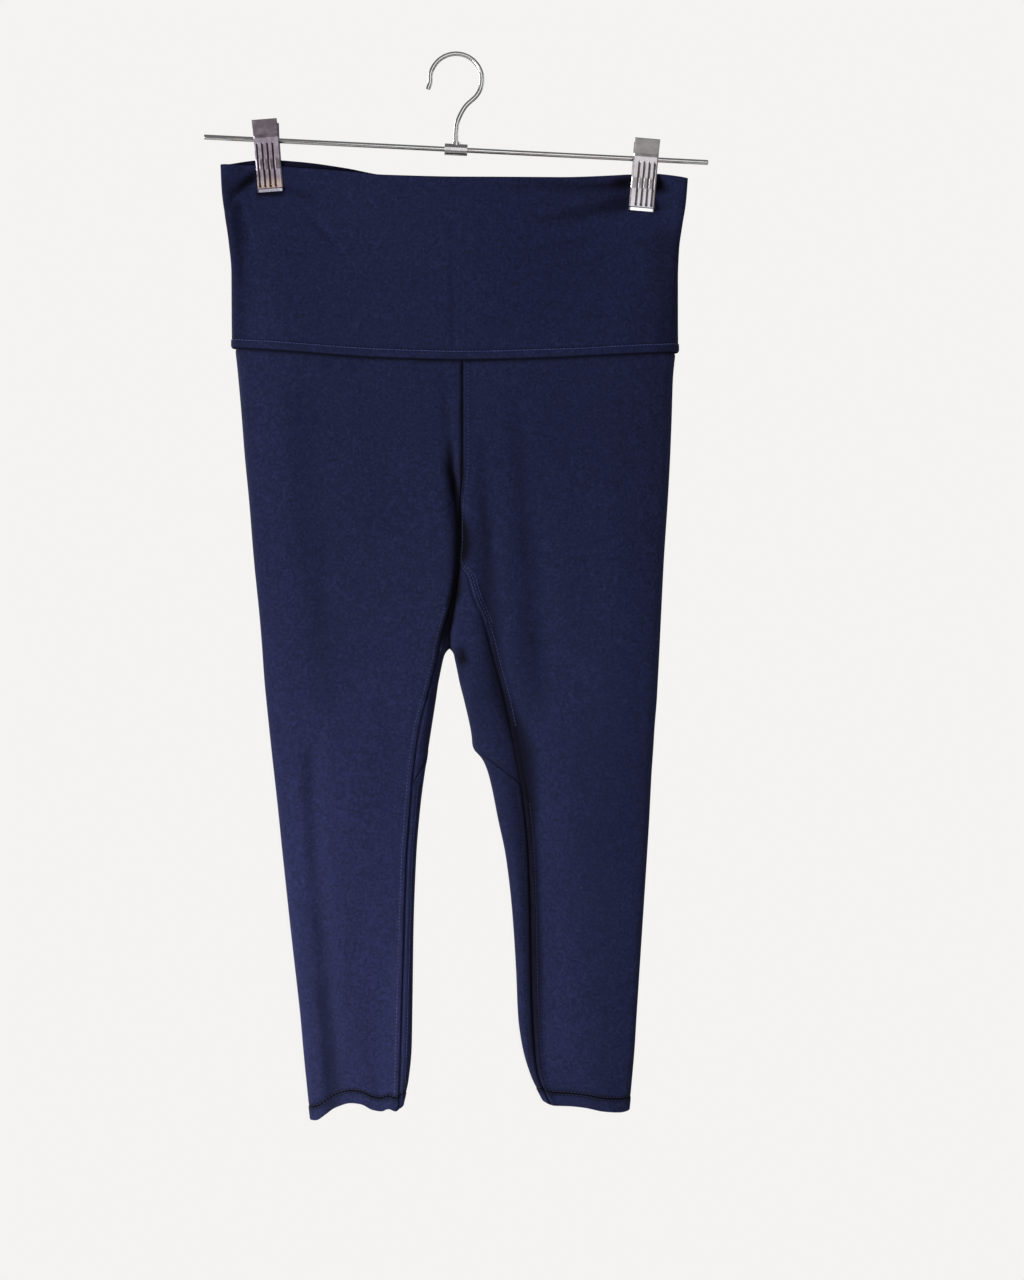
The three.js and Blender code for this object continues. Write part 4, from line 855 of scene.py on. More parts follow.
HOLLOW_RATE = 1.5
INSIDE_PAINTED_SHADE = 0.7  # painted shade over the cloth's reverse, inside the garment


def hollowness(outer, tucked):
    """How hidden from the light each node of a grid is, from 0 to 1: because the cloth bends
    sharply inwards there, or because it is tucked in."""

    def bend(points):
        step = np.maximum(np.linalg.norm(np.diff(points, axis=0), axis=-1, keepdims=True), 1e-6)
        slope = np.diff(points, axis=0) / step
        turned = np.zeros_like(points)
        turned[1:-1] = np.diff(slope, axis=0) * 2 / (step[1:] + step[:-1])
        return turned

    def relaxed(values):
        for _ in range(2):
            padded = np.pad(values, 1, mode="edge")
            near = padded[:-2, 1:-1] + padded[2:, 1:-1] + padded[1:-1, :-2] + padded[1:-1, 2:]
            values = 0.5 * values + 0.125 * near
        return values

    down, across = np.gradient(outer, axis=0), np.gradient(outer, axis=1)
    normal = unit(np.cross(down, across))
    total = bend(outer) + np.swapaxes(bend(np.swapaxes(outer, 0, 1)), 0, 1)
    inwards = relaxed(np.clip((total * normal).sum(-1), -2, 2))
    return 1 - np.exp(-HOLLOW_RATE * np.maximum(inwards, 0)) * (1 - tucked)


def make_object(name, points, faces, corner_uv=None, sharp=None, **marks):
    """An object from millimetre points, with a number for each point under each mark's name."""
    mesh = bpy.data.meshes.new(name)
    mesh.from_pydata([tuple(p) for p in np.asarray(points) * MM], [], faces)
    if corner_uv is not None:
        layer = mesh.uv_layers.new(name="Cloth")
        layer.data.foreach_set("uv", np.asarray(corner_uv, np.float32).ravel())
    mesh.validate()
    mesh.shade_smooth()
    obj = bpy.data.objects.new(name, mesh)
    bpy.context.scene.collection.objects.link(obj)
    if sharp is not None:
        mesh.set_sharp_from_angle(angle=math.radians(sharp))
    for mark, values in marks.items():
        layer = mesh.attributes.new(mark, "FLOAT", "POINT")
        layer.data.foreach_set("value", np.ascontiguousarray(values, np.float32))
    return obj


def ring_faces(rings, sides, start=0):
    """Faces round a bar whose rings of points follow each other, and at its two ends."""
    last = start + (rings - 1) * sides
    faces = []
    for base in range(start, last, sides):
        for j in range(sides):
            a, b = base + j, base + (j + 1) % sides
            faces.append([a, a + sides, b + sides, b])
    return faces + [list(range(start, start + sides)), list(range(last, last + sides))[::-1]]


def shell(name, grids):
    """Closes grids of (outer, inner, cloth coordinates, tucked) into one solid sheet. Grids
    that share nodes are joined there, and every other edge gets a rim."""
    points, coordinates, painted_shades, blocks, count = [], [], [], [], 0
    for outer, inner, cloth, tucked in grids:
        rows, columns = outer.shape[:2]
        index = np.arange(rows * columns).reshape(rows, columns) + count
        blocks.append((index, index + rows * columns))
        points += [outer.reshape(-1, 3), inner.reshape(-1, 3)]
        coordinates += [cloth.reshape(-1, 2)] * 2
        # painted shade for each node: the outer face's from its bends and tucks, the inner face's all alike
        painted_shades += [hollowness(outer, tucked).reshape(-1), np.full(rows * columns, INSIDE_PAINTED_SHADE)]
        count += 2 * rows * columns
    points, coordinates = np.concatenate(points), np.concatenate(coordinates)
    _, first, same = np.unique(np.round(points, 4), axis=0, return_index=True, return_inverse=True)
    same = same.reshape(-1)
    faces, corners, opened = [], [], {}

    def add(*nodes):
        kept = [n for k, n in enumerate(nodes) if same[n] != same[nodes[k - 1]]]
        if len(kept) >= 3 and len({same[n] for n in kept}) == len(kept):
            faces.append([int(same[n]) for n in kept])
            corners.extend(coordinates[n] for n in kept)

    for outer, inner in blocks:
        a, b, c, d = outer[:-1, :-1], outer[1:, :-1], outer[1:, 1:], outer[:-1, 1:]
        shift = inner[0, 0] - outer[0, 0]
        for quad in np.stack([a, b, c, d], -1).reshape(-1, 4).tolist():
            add(*quad)
            add(*[n + shift for n in reversed(quad)])
        for line in (outer[:, 0], outer[-1, :], outer[::-1, -1], outer[0, ::-1]):
            for p, q in zip(line[:-1].tolist(), line[1:].tolist()):
                if opened.pop((same[q], same[p]), None) is None:
                    opened[(same[p], same[q])] = (p, q, shift)
    for p, q, shift in opened.values():
        add(q, p, p + shift, q + shift)
    return make_object(name, points[first], faces, corners, hollow=np.concatenate(painted_shades)[first])


# ---------------------------------------------------------------- the sewn pieces

# Lengths from a sewn edge at which the cloth has its edge, strip and needle line.
SEAM_STEPS = np.array([0, 0.25, 0.55, 0.95, 1.5, 2.2, 3.1, 3.8, 4.15, 4.4, 4.65, 5.1, 5.8, 6.8, 8.4, 10.6])


def spread(low, high, count, spots):
    """Lengths from low to high, closer together near each spot (place, most, reach)."""
    fine = np.linspace(low, high, 400)
    density = 1 + sum(most * bell((fine - at) / reach) for at, most, reach in spots)
    passed = np.concatenate([[0], np.cumsum((density[1:] + density[:-1]) / 2)])
    return np.interp(np.linspace(0, passed[-1], count), passed, fine)


def rows_between(high, low, step):
    return list(np.linspace(high, low, max(2, round((high - low) / step) + 1)))


def falling(heights):
    return sorted({round(float(h), 4) for h in heights}, reverse=True)


def grid(rows):
    """Rows of (outer, inner, cloth coordinates, tucked) as an array of each."""
    return [np.array(column) for column in zip(*rows)]


def reversed_row(row):
    return [values[::-1] for values in row]


def cloth_row(run, z):
    return np.stack([run, np.full(run.shape, z)], -1) * MM


BAND_ROWS = falling(
    [WAIST_TOP - d for d in (0, 0.06, 0.2, 0.45, 0.9, 1.6, 2.8)]
    + rows_between(WAIST_TOP - 4.4, WAIST_SEAM + 11, 2.6)
    + [WAIST_SEAM + d for d in (9, 8, 7.4, 7, 6.7, 6.4, 6.1, 5.6, 4.8, 3.6, 2.4, 1.5, 0.9, 0.4, SEAM_GAP / 2)]
)
BAND_COLUMNS = 170


def band_span(z, side):
    """The lengths at which one half of the band begins and ends."""
    section, gap = band_section(z), SEAM_GAP / 2
    return (gap, section.half - gap) if side < 0 else (section.half + gap, section.total - gap)


def band_row(z, side):
    """Nodes of the front or back of the waistband, from one side seam to the other."""
    section = band_section(z)
    low, high = band_span(z, side)
    clips = [section.run_at(clip.at.x) for clip in CLIPS]
    if side > 0:
        clips = [section.total - run for run in clips]
    spots = [(run, 1.5, 22) for run in clips] + [(low, 3, 12), (high, 3, 12)]
    run = spread(low, high, BAND_COLUMNS, spots)
    outer, inner, _ = band_faces(z, run, side)
    # The two halves touch along their side seams, so that no light shows through.
    for face in (outer, inner):
        for end in (0, -1):
            face[end, 1] = band_bend(face[end, :1], face[end, 2:3])[0]
    return outer, inner, cloth_row(run, z), band_tuck(z, run, side)


LEG_ROWS = falling(
    [WAIST_SEAM - d for d in (SEAM_GAP / 2, 0.5, 1.1, 1.8, 2.8, 4.2, 6)]
    + rows_between(WAIST_SEAM - 8.5, HEM + 14, 2.9)
    + [HEM + d for d in (12.4, 11.2, 10.6, 10.2, 9.8, 9.4, 9, 8.8, 8.4, 7.8, 7, 6.7, 6.4, 6.2, 5.9, 5.5, 4.6)]
    + [HEM + d for d in (3.4, 2.2, 1.4, 0.8, 0.4, 0.15, 0)]
)
LEG_MIDDLE_COLUMNS = 96  # those between the two seams' own steps


def leg_span(leg, z):
    """The lengths at which a leg's panel begins at the front and ends at the back."""
    gap = SEAM_GAP / 2
    return front_seam(leg, z) + gap, leg_section(leg, z).total + back_seam(leg, z) - gap


def strip_weight(leg, z, run):
    """How strongly the seam allowance shows beside a leg's front and back edges."""
    if z > GUSSET_TOP:
        return np.full(run.shape, 1.0 if leg == "left" else 0.0)
    return np.where(run < leg_section(leg, z).half, 1.0, 0.8)


def leg_row(leg, z):
    """Nodes of a leg at one height: from the front seam, round the outside, to the back seam."""
    low, high = leg_span(leg, z)
    section = leg_section(leg, z)
    edge = SEAM_STEPS[-1]
    spots = [(section.half, 2.5, 14), (0, 2, 10), (section.total, 2, 10)]
    middle = spread(low + edge, high - edge, LEG_MIDDLE_COLUMNS, spots)[1:-1]
    run = np.concatenate([low + SEAM_STEPS, middle, high - SEAM_STEPS[::-1]])
    distance = np.minimum(run - low, high - run)
    outer, inner, _ = leg_faces(leg, z, run, distance, strip_weight(leg, z, run))
    row = outer, inner, cloth_row(run, z), leg_tuck(leg, z, run, distance)
    return reversed_row(row) if leg == "right" else row


GUSSET_ROWS = falling(
    [GUSSET_TOP - d for d in (0.6, 1.6, 3.2, 5.4)]
    + rows_between(GUSSET_TOP - 8, CROTCH, 2.6)
    + [CROTCH - d for d in (0.6, 1.4, 2.5, 4, 6)]
    + rows_between(CROTCH - 8.5, GUSSET_TIP + 3, 2.4)
    + [GUSSET_TIP + 1.6, GUSSET_TIP + 0.6]
)
# Where a flank's nodes lie between its seam (0) and the middle line (1).
GUSSET_SHARES = np.array(
    [0, 0.02, 0.045, 0.08, 0.13, 0.2, 0.29, 0.39, 0.5, 0.6, 0.7, 0.79, 0.86, 0.92, 0.965, 1]
)
GUSSET_UV_SHIFT = 0.5 / MM  # parts the front flank's cloth coordinates from the back's


@lru_cache(None)
def gusset_middle(z, side):
    """The gusset's middle line, where the legs' folds meet: down the front valley, under the
    crotch and up behind."""
    ends = []
    for leg in ("left", "right"):
        run = np.array([side * leg_section(leg, z).cut])
        ends.append(leg_faces(leg, z, run, FAR, 1.0))
    (left, _, left_normal), (right, _, right_normal) = ends
    outer = (left[0] + right[0]) / 2
    return outer, outer - unit(left_normal[0] + right_normal[0]) * 1.5 * LEG_CLOTH


def gusset_flank(leg, z, side):
    """Nodes at one height from a seam to the middle line, in front (1) or behind (-1)."""
    front, back = front_seam(leg, z), back_seam(leg, z)
    above = z >= CROTCH
    turn = smooth((GUSSET_BEND - z) / (GUSSET_BEND - GUSSET_TIP))
    middle = side * leg_section(leg, z).cut if above else mix(0, (front + back) / 2, turn)
    seam = front if side > 0 else back
    wide = abs(middle - seam)
    seam += math.copysign(min(SEAM_GAP / 2, 0.2 * wide), middle - seam)
    run = mix(seam, middle, GUSSET_SHARES)
    distance = np.abs(run - seam)
    outer, inner, _ = leg_faces(leg, z, run, distance, 0)
    if above:
        outer[-1], inner[-1] = gusset_middle(z, side)
    cloth = cloth_row(run * TOWARDS[leg] + GUSSET_UV_SHIFT * (side > 0), z)
    return outer, inner, cloth, leg_tuck(leg, z, run, distance)


def gusset_grids():
    """A long diamond between the two inseams and the two centre seams: for each leg its front
    and back flanks above the crotch, and both in one below it."""
    upper = [z for z in GUSSET_ROWS if z >= CROTCH]
    lower = [z for z in GUSSET_ROWS if z <= CROTCH]
    for leg in ("left", "right"):
        ahead, behind = ([gusset_flank(leg, z, side) for z in upper] for side in (1, -1))
        both = []
        for z in lower:
            halves = zip(gusset_flank(leg, z, 1), gusset_flank(leg, z, -1))
            both.append([np.concatenate([a, b[::-1][1:]]) for a, b in halves])
        for rows in (ahead, map(reversed_row, behind), both):
            yield grid(map(reversed_row, rows) if leg == "left" else rows)


cloth_pieces = {
    "waistband_front": shell("waistband_front_cloth", [grid(band_row(z, FRONT) for z in BAND_ROWS)]),
    "waistband_back": shell("waistband_back_cloth", [grid(band_row(z, BACK) for z in BAND_ROWS)]),
    "leg_right": shell("leg_right_cloth", [grid(leg_row("right", z) for z in LEG_ROWS)]),
    "leg_left": shell("leg_left_cloth", [grid(leg_row("left", z) for z in LEG_ROWS)]),
    "gusset": shell("gusset_cloth", gusset_grids()),
}

# ---------------------------------------------------------------- sewing

STITCH = SimpleNamespace(length=2.3, pitch=2.9, radius=0.27, sides=6, flatness=1.25)
# A stitch's rings: the place along it (-1 to 1), and its thickness and lift in radii.
HALF_STITCH = [(1, 0.25, -0.28), (0.72, 0.9, -0.05), (0.3, 1, 0.1)]
STITCH_RINGS = np.array([(-at, full, lift) for at, full, lift in HALF_STITCH] + HALF_STITCH[::-1])


def stitches(name, paths, length=STITCH.length, radius=STITCH.radius):
    """Raised thread stitches along paths of (points, normals) that lie on the cloth."""
    points, faces = [], []
    turn = np.arange(STITCH.sides)[:, None] * 2 * np.pi / STITCH.sides
    for path, normal in paths:
        run = np.concatenate([[0], np.cumsum(np.linalg.norm(np.diff(path, axis=0), axis=1))])
        number = int((run[-1] - length) // STITCH.pitch) + 1
        start = (run[-1] - (number - 1) * STITCH.pitch - length) / 2

        def on_path(values, at):
            return np.stack([np.interp(at, run, values[:, k]) for k in range(3)], -1)

        for i in range(number):
            at = start + i * STITCH.pitch + length / 2 + STITCH_RINGS[:, 0] * length / 2
            centres, up = on_path(path, at), unit(on_path(normal, at))
            along = unit(on_path(path, at + 0.3) - on_path(path, at - 0.3))
            across = unit(np.cross(along, up))
            faces += ring_faces(len(STITCH_RINGS), STITCH.sides, len(points))
            for k, (_, full, lift) in enumerate(STITCH_RINGS):
                centre = centres[k] + up[k] * (lift + 0.3) * radius
                circle = STITCH.flatness * np.cos(turn) * across[k] + np.sin(turn) * up[k]
                points += list(centre + radius * full * circle)
    return make_object(name, points, faces)


def needle_line(leg, top, bottom, away):
    """A path down a leg's outer face, beside its front edge or, with a negative distance
    away, its back edge."""
    points, ups = [], []
    for z in np.linspace(top, bottom, max(2, int((top - bottom) / 3))).tolist():
        low, high = leg_span(leg, z)
        run = np.array([low + away if away > 0 else high + away])
        outer, _, normal = leg_faces(leg, z, run, abs(away), strip_weight(leg, z, run))
        points.append(outer[0])
        ups.append(normal[0])
    return np.array(points), np.array(ups)


def hem_line(leg, height):
    """A path round a leg from its front edge to its back edge."""
    low, high = leg_span(leg, HEM + height)
    run = np.linspace(low + 1, high - 1, 240)
    outer, _, normal = leg_faces(leg, HEM + height, run, np.minimum(run - low, high - run), 1.0)
    return outer, normal


def waist_line(side):
    low, high = band_span(WAIST_SEAM + BAND_NEEDLE, side)
    run = np.linspace(low + 1.5, high - 1.5, 260)
    outer, _, normal = band_faces(WAIST_SEAM + BAND_NEEDLE, run, side)
    return outer, normal


LINES_TOP = WAIST_SEAM - 3
LINES_BOTTOM = HEM + HEM_TURN_UP + 1.5
RIGHT_TOP = INSEAM_SHOWS["right"] + 6
WAIST_STITCH = SimpleNamespace(length=2.6, radius=0.36)
COVER = (-409, -454, (2, 6.8))  # the gusset's coverstitch: its top, its bottom, its two needles


def waist_stitches(name, side):
    return [stitches(name, [waist_line(side)], WAIST_STITCH.length, WAIST_STITCH.radius)]


def hem_stitches(leg):
    return stitches(f"hem_stitch_{leg}", [hem_line(leg, height) for height in HEM_NEEDLES])


sewing = {
    "waistband_front": waist_stitches("waist_topstitch_front", FRONT),
    "waistband_back": waist_stitches("waist_topstitch_back", BACK),
    "leg_right": [
        stitches(
            "seam_topstitch_right",
            [needle_line("right", RIGHT_TOP, LINES_BOTTOM, away) for away in (NEEDLE, -NEEDLE)],
        ),
        hem_stitches("right"),
    ],
    "leg_left": [
        stitches(
            "seam_topstitch_left",
            [needle_line("left", LINES_TOP, GUSSET_BEND, NEEDLE)]
            + [needle_line("left", COVER[0], COVER[1], away) for away in COVER[2]],
        ),
        # those on both sides of its trough, whose thread barely shows: it is painted darker, for the trough's
        # shade
        stitches(
            "trough_topstitch_left",
            [
                needle_line("left", GUSSET_TIP - 14, LINES_BOTTOM, NEEDLE),
                needle_line("left", LINES_TOP, LINES_BOTTOM, -NEEDLE),
            ],
            radius=0.17,
        ),
        hem_stitches("left"),
    ],
    "gusset": [],
}

# ---------------------------------------------------------------- the hanger


def tube(name, centres, radii, sides=32):
    """A round bar through centres (millimetres), closed at both ends."""
    centres, radii = np.asarray(centres, float), np.asarray(radii, float)
    along = unit(np.gradient(centres, axis=0))
    across = unit(np.cross(along, (0, 1, 0)))
    up = np.cross(across, along)
    angle = np.arange(sides) * 2 * np.pi / sides
    circle = np.cos(angle)[None, :, None] * across[:, None] + np.sin(angle)[None, :, None] * up[:, None]
    points = (centres[:, None] + circle * radii[:, None, None]).reshape(-1, 3)
    return make_object(name, points, ring_faces(len(centres), sides), sharp=50)


def rounded_ends(length, radius, rounding_radius, steps=5):
    """Places along a bar and its radius there, with its two ends rounded off."""
    turn = np.linspace(0, math.pi / 2, steps)
    ends = rounding_radius * (1 - np.sin(turn))
    shrink = radius - rounding_radius * (1 - np.cos(turn))
    at = np.concatenate([-length / 2 + ends[::-1], length / 2 - ends])
    return at, np.concatenate([shrink[::-1], shrink])


bar_direction = np.array([math.cos(BAR_TILT), 0, -math.sin(BAR_TILT)])
at, radius = rounded_ends(BAR_LENGTH, BAR_RADIUS, 0.8)
bar = tube("hanger_bar_wire", np.array(on_bar(0)) + at[:, None] * bar_direction, radius)


def centripetal(points, per_span=12):
    """A centripetal Catmull-Rom curve through points, with its ends extended."""
    p = np.asarray(points, float)
    p = np.vstack([2 * p[0] - p[1], p, 2 * p[-1] - p[-2]])
    made = []
    for i in range(1, len(p) - 2):
        level = p[i - 1 : i + 3]
        t = np.concatenate([[0], np.cumsum(np.linalg.norm(np.diff(level, axis=0), axis=1) ** 0.5)])
        for s in np.linspace(t[1], t[2], per_span, endpoint=i == len(p) - 3):
            ab, bc, cd = (mix(level[k], level[k + 1], (s - t[k]) / (t[k + 1] - t[k])) for k in range(3))
            abc = mix(ab, bc, (s - t[0]) / (t[2] - t[0]))
            bcd = mix(bc, cd, (s - t[1]) / (t[3] - t[1]))
            made.append(mix(abc, bcd, (s - t[1]) / (t[2] - t[1])))
    return np.array(made)


STEM_BOTTOM = BAR_Z + 6.3  # where the hook's stem leaves its ferrule
HOOK_SWEEP = (-38, 186)  # degrees round the hook's centre


def hook_line():
    radius, centre = HOOK_INSIDE_RADIUS + HOOK_WIRE_RADIUS, -HOOK_INSIDE_RADIUS
    stem = [(0, 0, STEM_BOTTOM), (0, 0, STEM_BOTTOM + 8), (1.2, 0, STEM_BOTTOM + 16)]
    arc = [
        (radius * math.cos(angle), 0, centre + radius * math.sin(angle))
        for angle in np.radians(np.linspace(*HOOK_SWEEP, 15))
    ]
    return centripetal([*stem, (7.2, 0, centre - radius - 1), *arc, (-radius - 1.6, 0, centre - 7.5)])


hook_centres = hook_line()
hook = tube("hanger_hook_wire", hook_centres, np.full(len(hook_centres), HOOK_WIRE_RADIUS), 24)

# The clips' front and back jaws, as in the CAD model: (outwards, height) from the pivot.
PIVOT_FACE = 4.7
GRIP_FACE = PINCH + 0.3
JAW_OUTSIDE = [
    (PIVOT_FACE + 8.5, 14.4), (PIVOT_FACE + 1.6, 3.4), (PIVOT_FACE + 1, 1.2), (PIVOT_FACE + 1, -4),
    (GRIP_FACE + 2.7, -15.6), (GRIP_FACE + 1, -24), (GRIP_FACE + 1.1, -CLIP_DROP + 3.4),
    (GRIP_FACE + 2.3, -CLIP_DROP + 2.4), (GRIP_FACE + 2.6, -CLIP_DROP),
]
JAW_INSIDE = [
    (GRIP_FACE + 0.9, -CLIP_DROP), (GRIP_FACE, -CLIP_DROP + 2.4), (GRIP_FACE, -24), (GRIP_FACE + 1.6, -16),
    (PIVOT_FACE, -4), (PIVOT_FACE, 1.5), (PIVOT_FACE + 0.6, 4), (PIVOT_FACE + 7.5, 15),
]
GROOVE = SimpleNamespace(count=4, pitch=4.17, half=0.95, depth=0.6, top=-3.6, bottom=-CLIP_DROP + 5)
GROOVES_OUTWARDS = 1.6  # how far the photo shows them off the plate's middle
PLATE_EDGE = SimpleNamespace(drop=0.45, reach=0.9, steps=np.array([0.15, 0.4, 0.8]))


def along_path(corners, step):
    """Points every step or so along straight stretches between corners."""
    made = [corners[0]]
    for a, b in zip(corners, corners[1:]):
        number = max(1, int(math.dist(a, b) / step))
        made += [tuple(mix(np.array(a), np.array(b), k / number)) for k in range(1, number + 1)]
    return np.array(made)


def jaw(name, clip, facing):
    """A bent plate with four pressed grooves that end short of its lip. Its points also say
    how much they are pressed in, how low they are and whether they lie on the lip: the marks
    where its material paints shade, a warmer reflection and a highlight."""
    centre = math.copysign(GROOVES_OUTWARDS, clip.at.x)
    grooves = [centre + (k - (GROOVE.count - 1) / 2) * GROOVE.pitch for k in range(GROOVE.count)]
    half = CLIP_WIDTH / 2
    spots = [np.linspace(-half, half, 15), half - PLATE_EDGE.steps, PLATE_EDGE.steps - half]
    spots += [groove + np.linspace(-1.5, 1.5, 13) for groove in grooves]
    across = np.unique(np.round(np.concatenate(spots), 3))
    across = across[np.abs(across) <= half]
    (away, height), inside = along_path(JAW_OUTSIDE, 0.5).T, along_path(JAW_INSIDE, 3)
    past = np.maximum(0, np.maximum(height - GROOVE.top, GROOVE.bottom - height))
    wide = GROOVE.half * (1 + 0.3 * bell((height - GROOVE.bottom) / 1.6))
    low = smooth((GROOVE.bottom + 9 - height) / 9)
    lip = height < -CLIP_DROP + 2.5
    points, shades = [], []
    for u in across:
        near = min((np.hypot(u - groove, past) for groove in grooves), key=lambda found: found.min())
        pressed = smooth(1.35 * (1 - near / wide))
        rounded = PLATE_EDGE.drop * smooth(1 - (half - abs(u)) / PLATE_EDGE.reach)
        outside = np.stack([away - GROOVE.depth * pressed - rounded, height], -1)
        points += [(u, *point) for point in (*outside, *inside)]
        shades += [np.stack([pressed, low, lip], -1), np.zeros((len(inside), 3))]
    side, away, height = np.array(points).T
    cos, sin = math.cos(clip.lean), math.sin(clip.lean)
    placed = np.stack([side * cos - height * sin, facing * away, side * sin + height * cos], -1)
    faces = ring_faces(len(across), len(lip) + len(inside))
    if facing > 0:
        faces = [face[::-1] for face in faces]
    shades = dict(zip(("pressed", "low", "lip"), np.concatenate(shades).T))
    return make_object(name, placed + np.array(clip.at), faces, sharp=40, **shades)


jaws = {
    (clip.name, face): jaw(f"clip_{clip.name}_{face}_plate", clip, facing)
    for clip in CLIPS
    for face, facing in (("front", FRONT), ("back", BACK))
}

# ---------------------------------------------------------------- finishes


class Shader:
    """A material built node by node."""

    def __init__(self, name):
        self.material = bpy.data.materials.new(name)
        self.material.use_nodes = True
        self.tree = self.material.node_tree
        self.surface = self.tree.nodes["Principled BSDF"]

    def node(self, kind, inputs=None, **settings):
        made = self.tree.nodes.new("ShaderNode" + kind)
        for key, value in settings.items():
            setattr(made, key, value)
        for key, value in (inputs or {}).items():
            self.put(made.inputs[key], value)
        return made

    def put(self, socket, value):
        if isinstance(value, bpy.types.NodeSocket):
            self.tree.links.new(value, socket)
        else:
            socket.default_value = value

    def place(self):
        return self.node("TexCoord").outputs["Object"]

    def mark(self, name):
        """A number that the mesh holds for each point."""
        return self.node("Attribute", attribute_name=name).outputs["Fac"]

    def math(self, operation, a, b=0.0, c=0.0):
        return self.node("Math", {0: a, 1: b, 2: c}, operation=operation).outputs[0]

    def product(self, a, b):
        return self.math("MULTIPLY", a, b)

    def sway(self, value, noise, by, middle=0.5):
        """A value with a share of a noise's swing about its middle."""
        return self.math("MULTIPLY_ADD", self.math("SUBTRACT", noise, middle), by, value)

    def remap(self, value, low, high, to_low=0.0, to_high=1.0):
        inputs = {0: value, 1: low, 2: high, 3: to_low, 4: to_high}
        return self.node("MapRange", inputs, interpolation_type="SMOOTHSTEP").outputs[0]

    def noise(self, vector, scale, detail=2.0, roughness=0.5):
        inputs = {"Vector": vector, "Scale": scale, "Detail": detail, "Roughness": roughness}
        return self.node("TexNoise", inputs).outputs["Fac"]

    def specks(self, place, scale, near, far, above):
        """Round spots near the middles of a few random cells."""
        cells = self.node("TexVoronoi", {"Vector": place, "Scale": scale})
        chance = self.node("SeparateColor", {0: cells.outputs["Color"]}).outputs[0]
        spot = self.remap(cells.outputs["Distance"], near, far, 1.0, 0.0)
        return self.product(spot, self.math("GREATER_THAN", chance, above))

    def scaled(self, vector, by):
        return self.node("VectorMath", {0: vector, 1: by}, operation="MULTIPLY").outputs[0]

    def blend(self, share, a, b):
        made = self.node("Mix", data_type="RGBA", blend_type="MIX")
        for socket, value in ((made.inputs[0], share), (made.inputs[6], a), (made.inputs[7], b)):
            self.put(socket, value)
        return made.outputs[2]

    def bump(self, height, distance, strength):
        inputs = {"Height": height, "Distance": distance, "Strength": strength}
        return self.node("Bump", inputs).outputs["Normal"]

    def set(self, **values):
        names = {
            "colour": "Base Color",
            "roughness": "Roughness",
            "metallic": "Metallic",
            "specular": "Specular IOR Level",
            "sheen": "Sheen Weight",
            "sheen_roughness": "Sheen Roughness",
            "sheen_tint": "Sheen Tint",
            "normal": "Normal",
        }
        for key, value in values.items():
            self.put(self.surface.inputs[names[key]], value)
        return self.material


def rgb(red, green, blue):
    """A display colour (0 to 255) as linear light."""
    values = [c / 255 for c in (red, green, blue)]
    linear = [c / 12.92 if c <= 0.04045 else ((c + 0.055) / 1.055) ** 2.4 for c in values]
    return (*linear, 1.0)


WALE, COURSE = 0.62, 0.5  # the knit's loops, across and along, in millimetres


def knitted(m, cloth):
    """The height of V-shaped loops in rows and columns, from 0 to 1."""
    part = m.node("SeparateXYZ", {0: cloth})
    wale = m.math("FRACT", m.math("DIVIDE", part.outputs[0], WALE))
    off_centre = m.product(m.math("ABSOLUTE", m.math("SUBTRACT", wale, 0.5)), 2.0)
    ridge = m.math("SUBTRACT", 1.0, m.product(off_centre, off_centre))
    course = m.math("ADD", m.math("DIVIDE", part.outputs[1], COURSE), m.product(off_centre, 0.55))
    loop = m.math("SINE", m.product(course, 2 * math.pi))
    return m.product(ridge, m.math("MULTIPLY_ADD", loop, 0.3, 0.7))


def jersey(name, base, dark, light, painted_shade_colour):
    """Brushed cotton jersey: fine V-shaped loops, heathered in small soft blotches, with
    faint streaks along the wales, a speck of lint here and there, and painted shade where
    its mesh marks shade."""
    m = Shader(name)
    place = m.place()
    cloth = m.scaled(m.node("UVMap", uv_map="Cloth").outputs["UV"], (1 / MM, 1 / MM, 1))
    knit = knitted(m, cloth)
    heather = m.noise(place, 430.0, 2.0, 0.6)
    tone = m.sway(0.5, heather, 2.5)
    tone = m.sway(tone, m.noise(place, 130.0), 0.5)
    tone = m.sway(tone, m.noise(m.scaled(cloth, (0.8, 0.06, 1)), 1.0), 0.45)  # streaks
    tone = m.sway(tone, m.noise(m.scaled(cloth, (0.1, 0.9, 1)), 1.0), 0.35)  # bars
    tone = m.sway(tone, knit, 0.2, 0.6)
    tint = m.noise(m.scaled(place, (1, 1.3, 1)), 190.0, 1.0)
    broad = m.noise(place, 14.0)
    colour = m.blend(m.remap(tone, 0.1, 0.9), dark, light)
    colour = m.blend(m.remap(tint, 0.35, 0.65, 0.0, 0.5), colour, base)
    colour = m.blend(m.remap(broad, 0.3, 0.7, 0.0, 0.12), colour, dark)
    colour = m.blend(m.product(m.specks(place, 115.0, 0.03, 0.14, 0.72), 0.5), colour, light)
    colour = m.blend(m.product(m.specks(place, 60.0, 0.02, 0.05, 0.975), 0.3), colour, rgb(150, 152, 168))
    # painted shade: the shade each point of the mesh holds darkens it towards near-black
    colour = m.blend(m.product(m.mark("hollow"), 0.97), colour, painted_shade_colour)
    fuzz = m.noise(place, 2300.0, 2.0, 0.7)
    return m.set(
        colour=colour,
        roughness=m.remap(heather, 0.3, 0.7, 0.86, 0.97),
        specular=0.14,
        sheen=0.06,
        sheen_roughness=0.5,
        sheen_tint=(0.42, 0.46, 0.75, 1.0),
        normal=m.bump(m.math("MULTIPLY_ADD", fuzz, 0.5, knit), 0.00016, 0.7),
    )


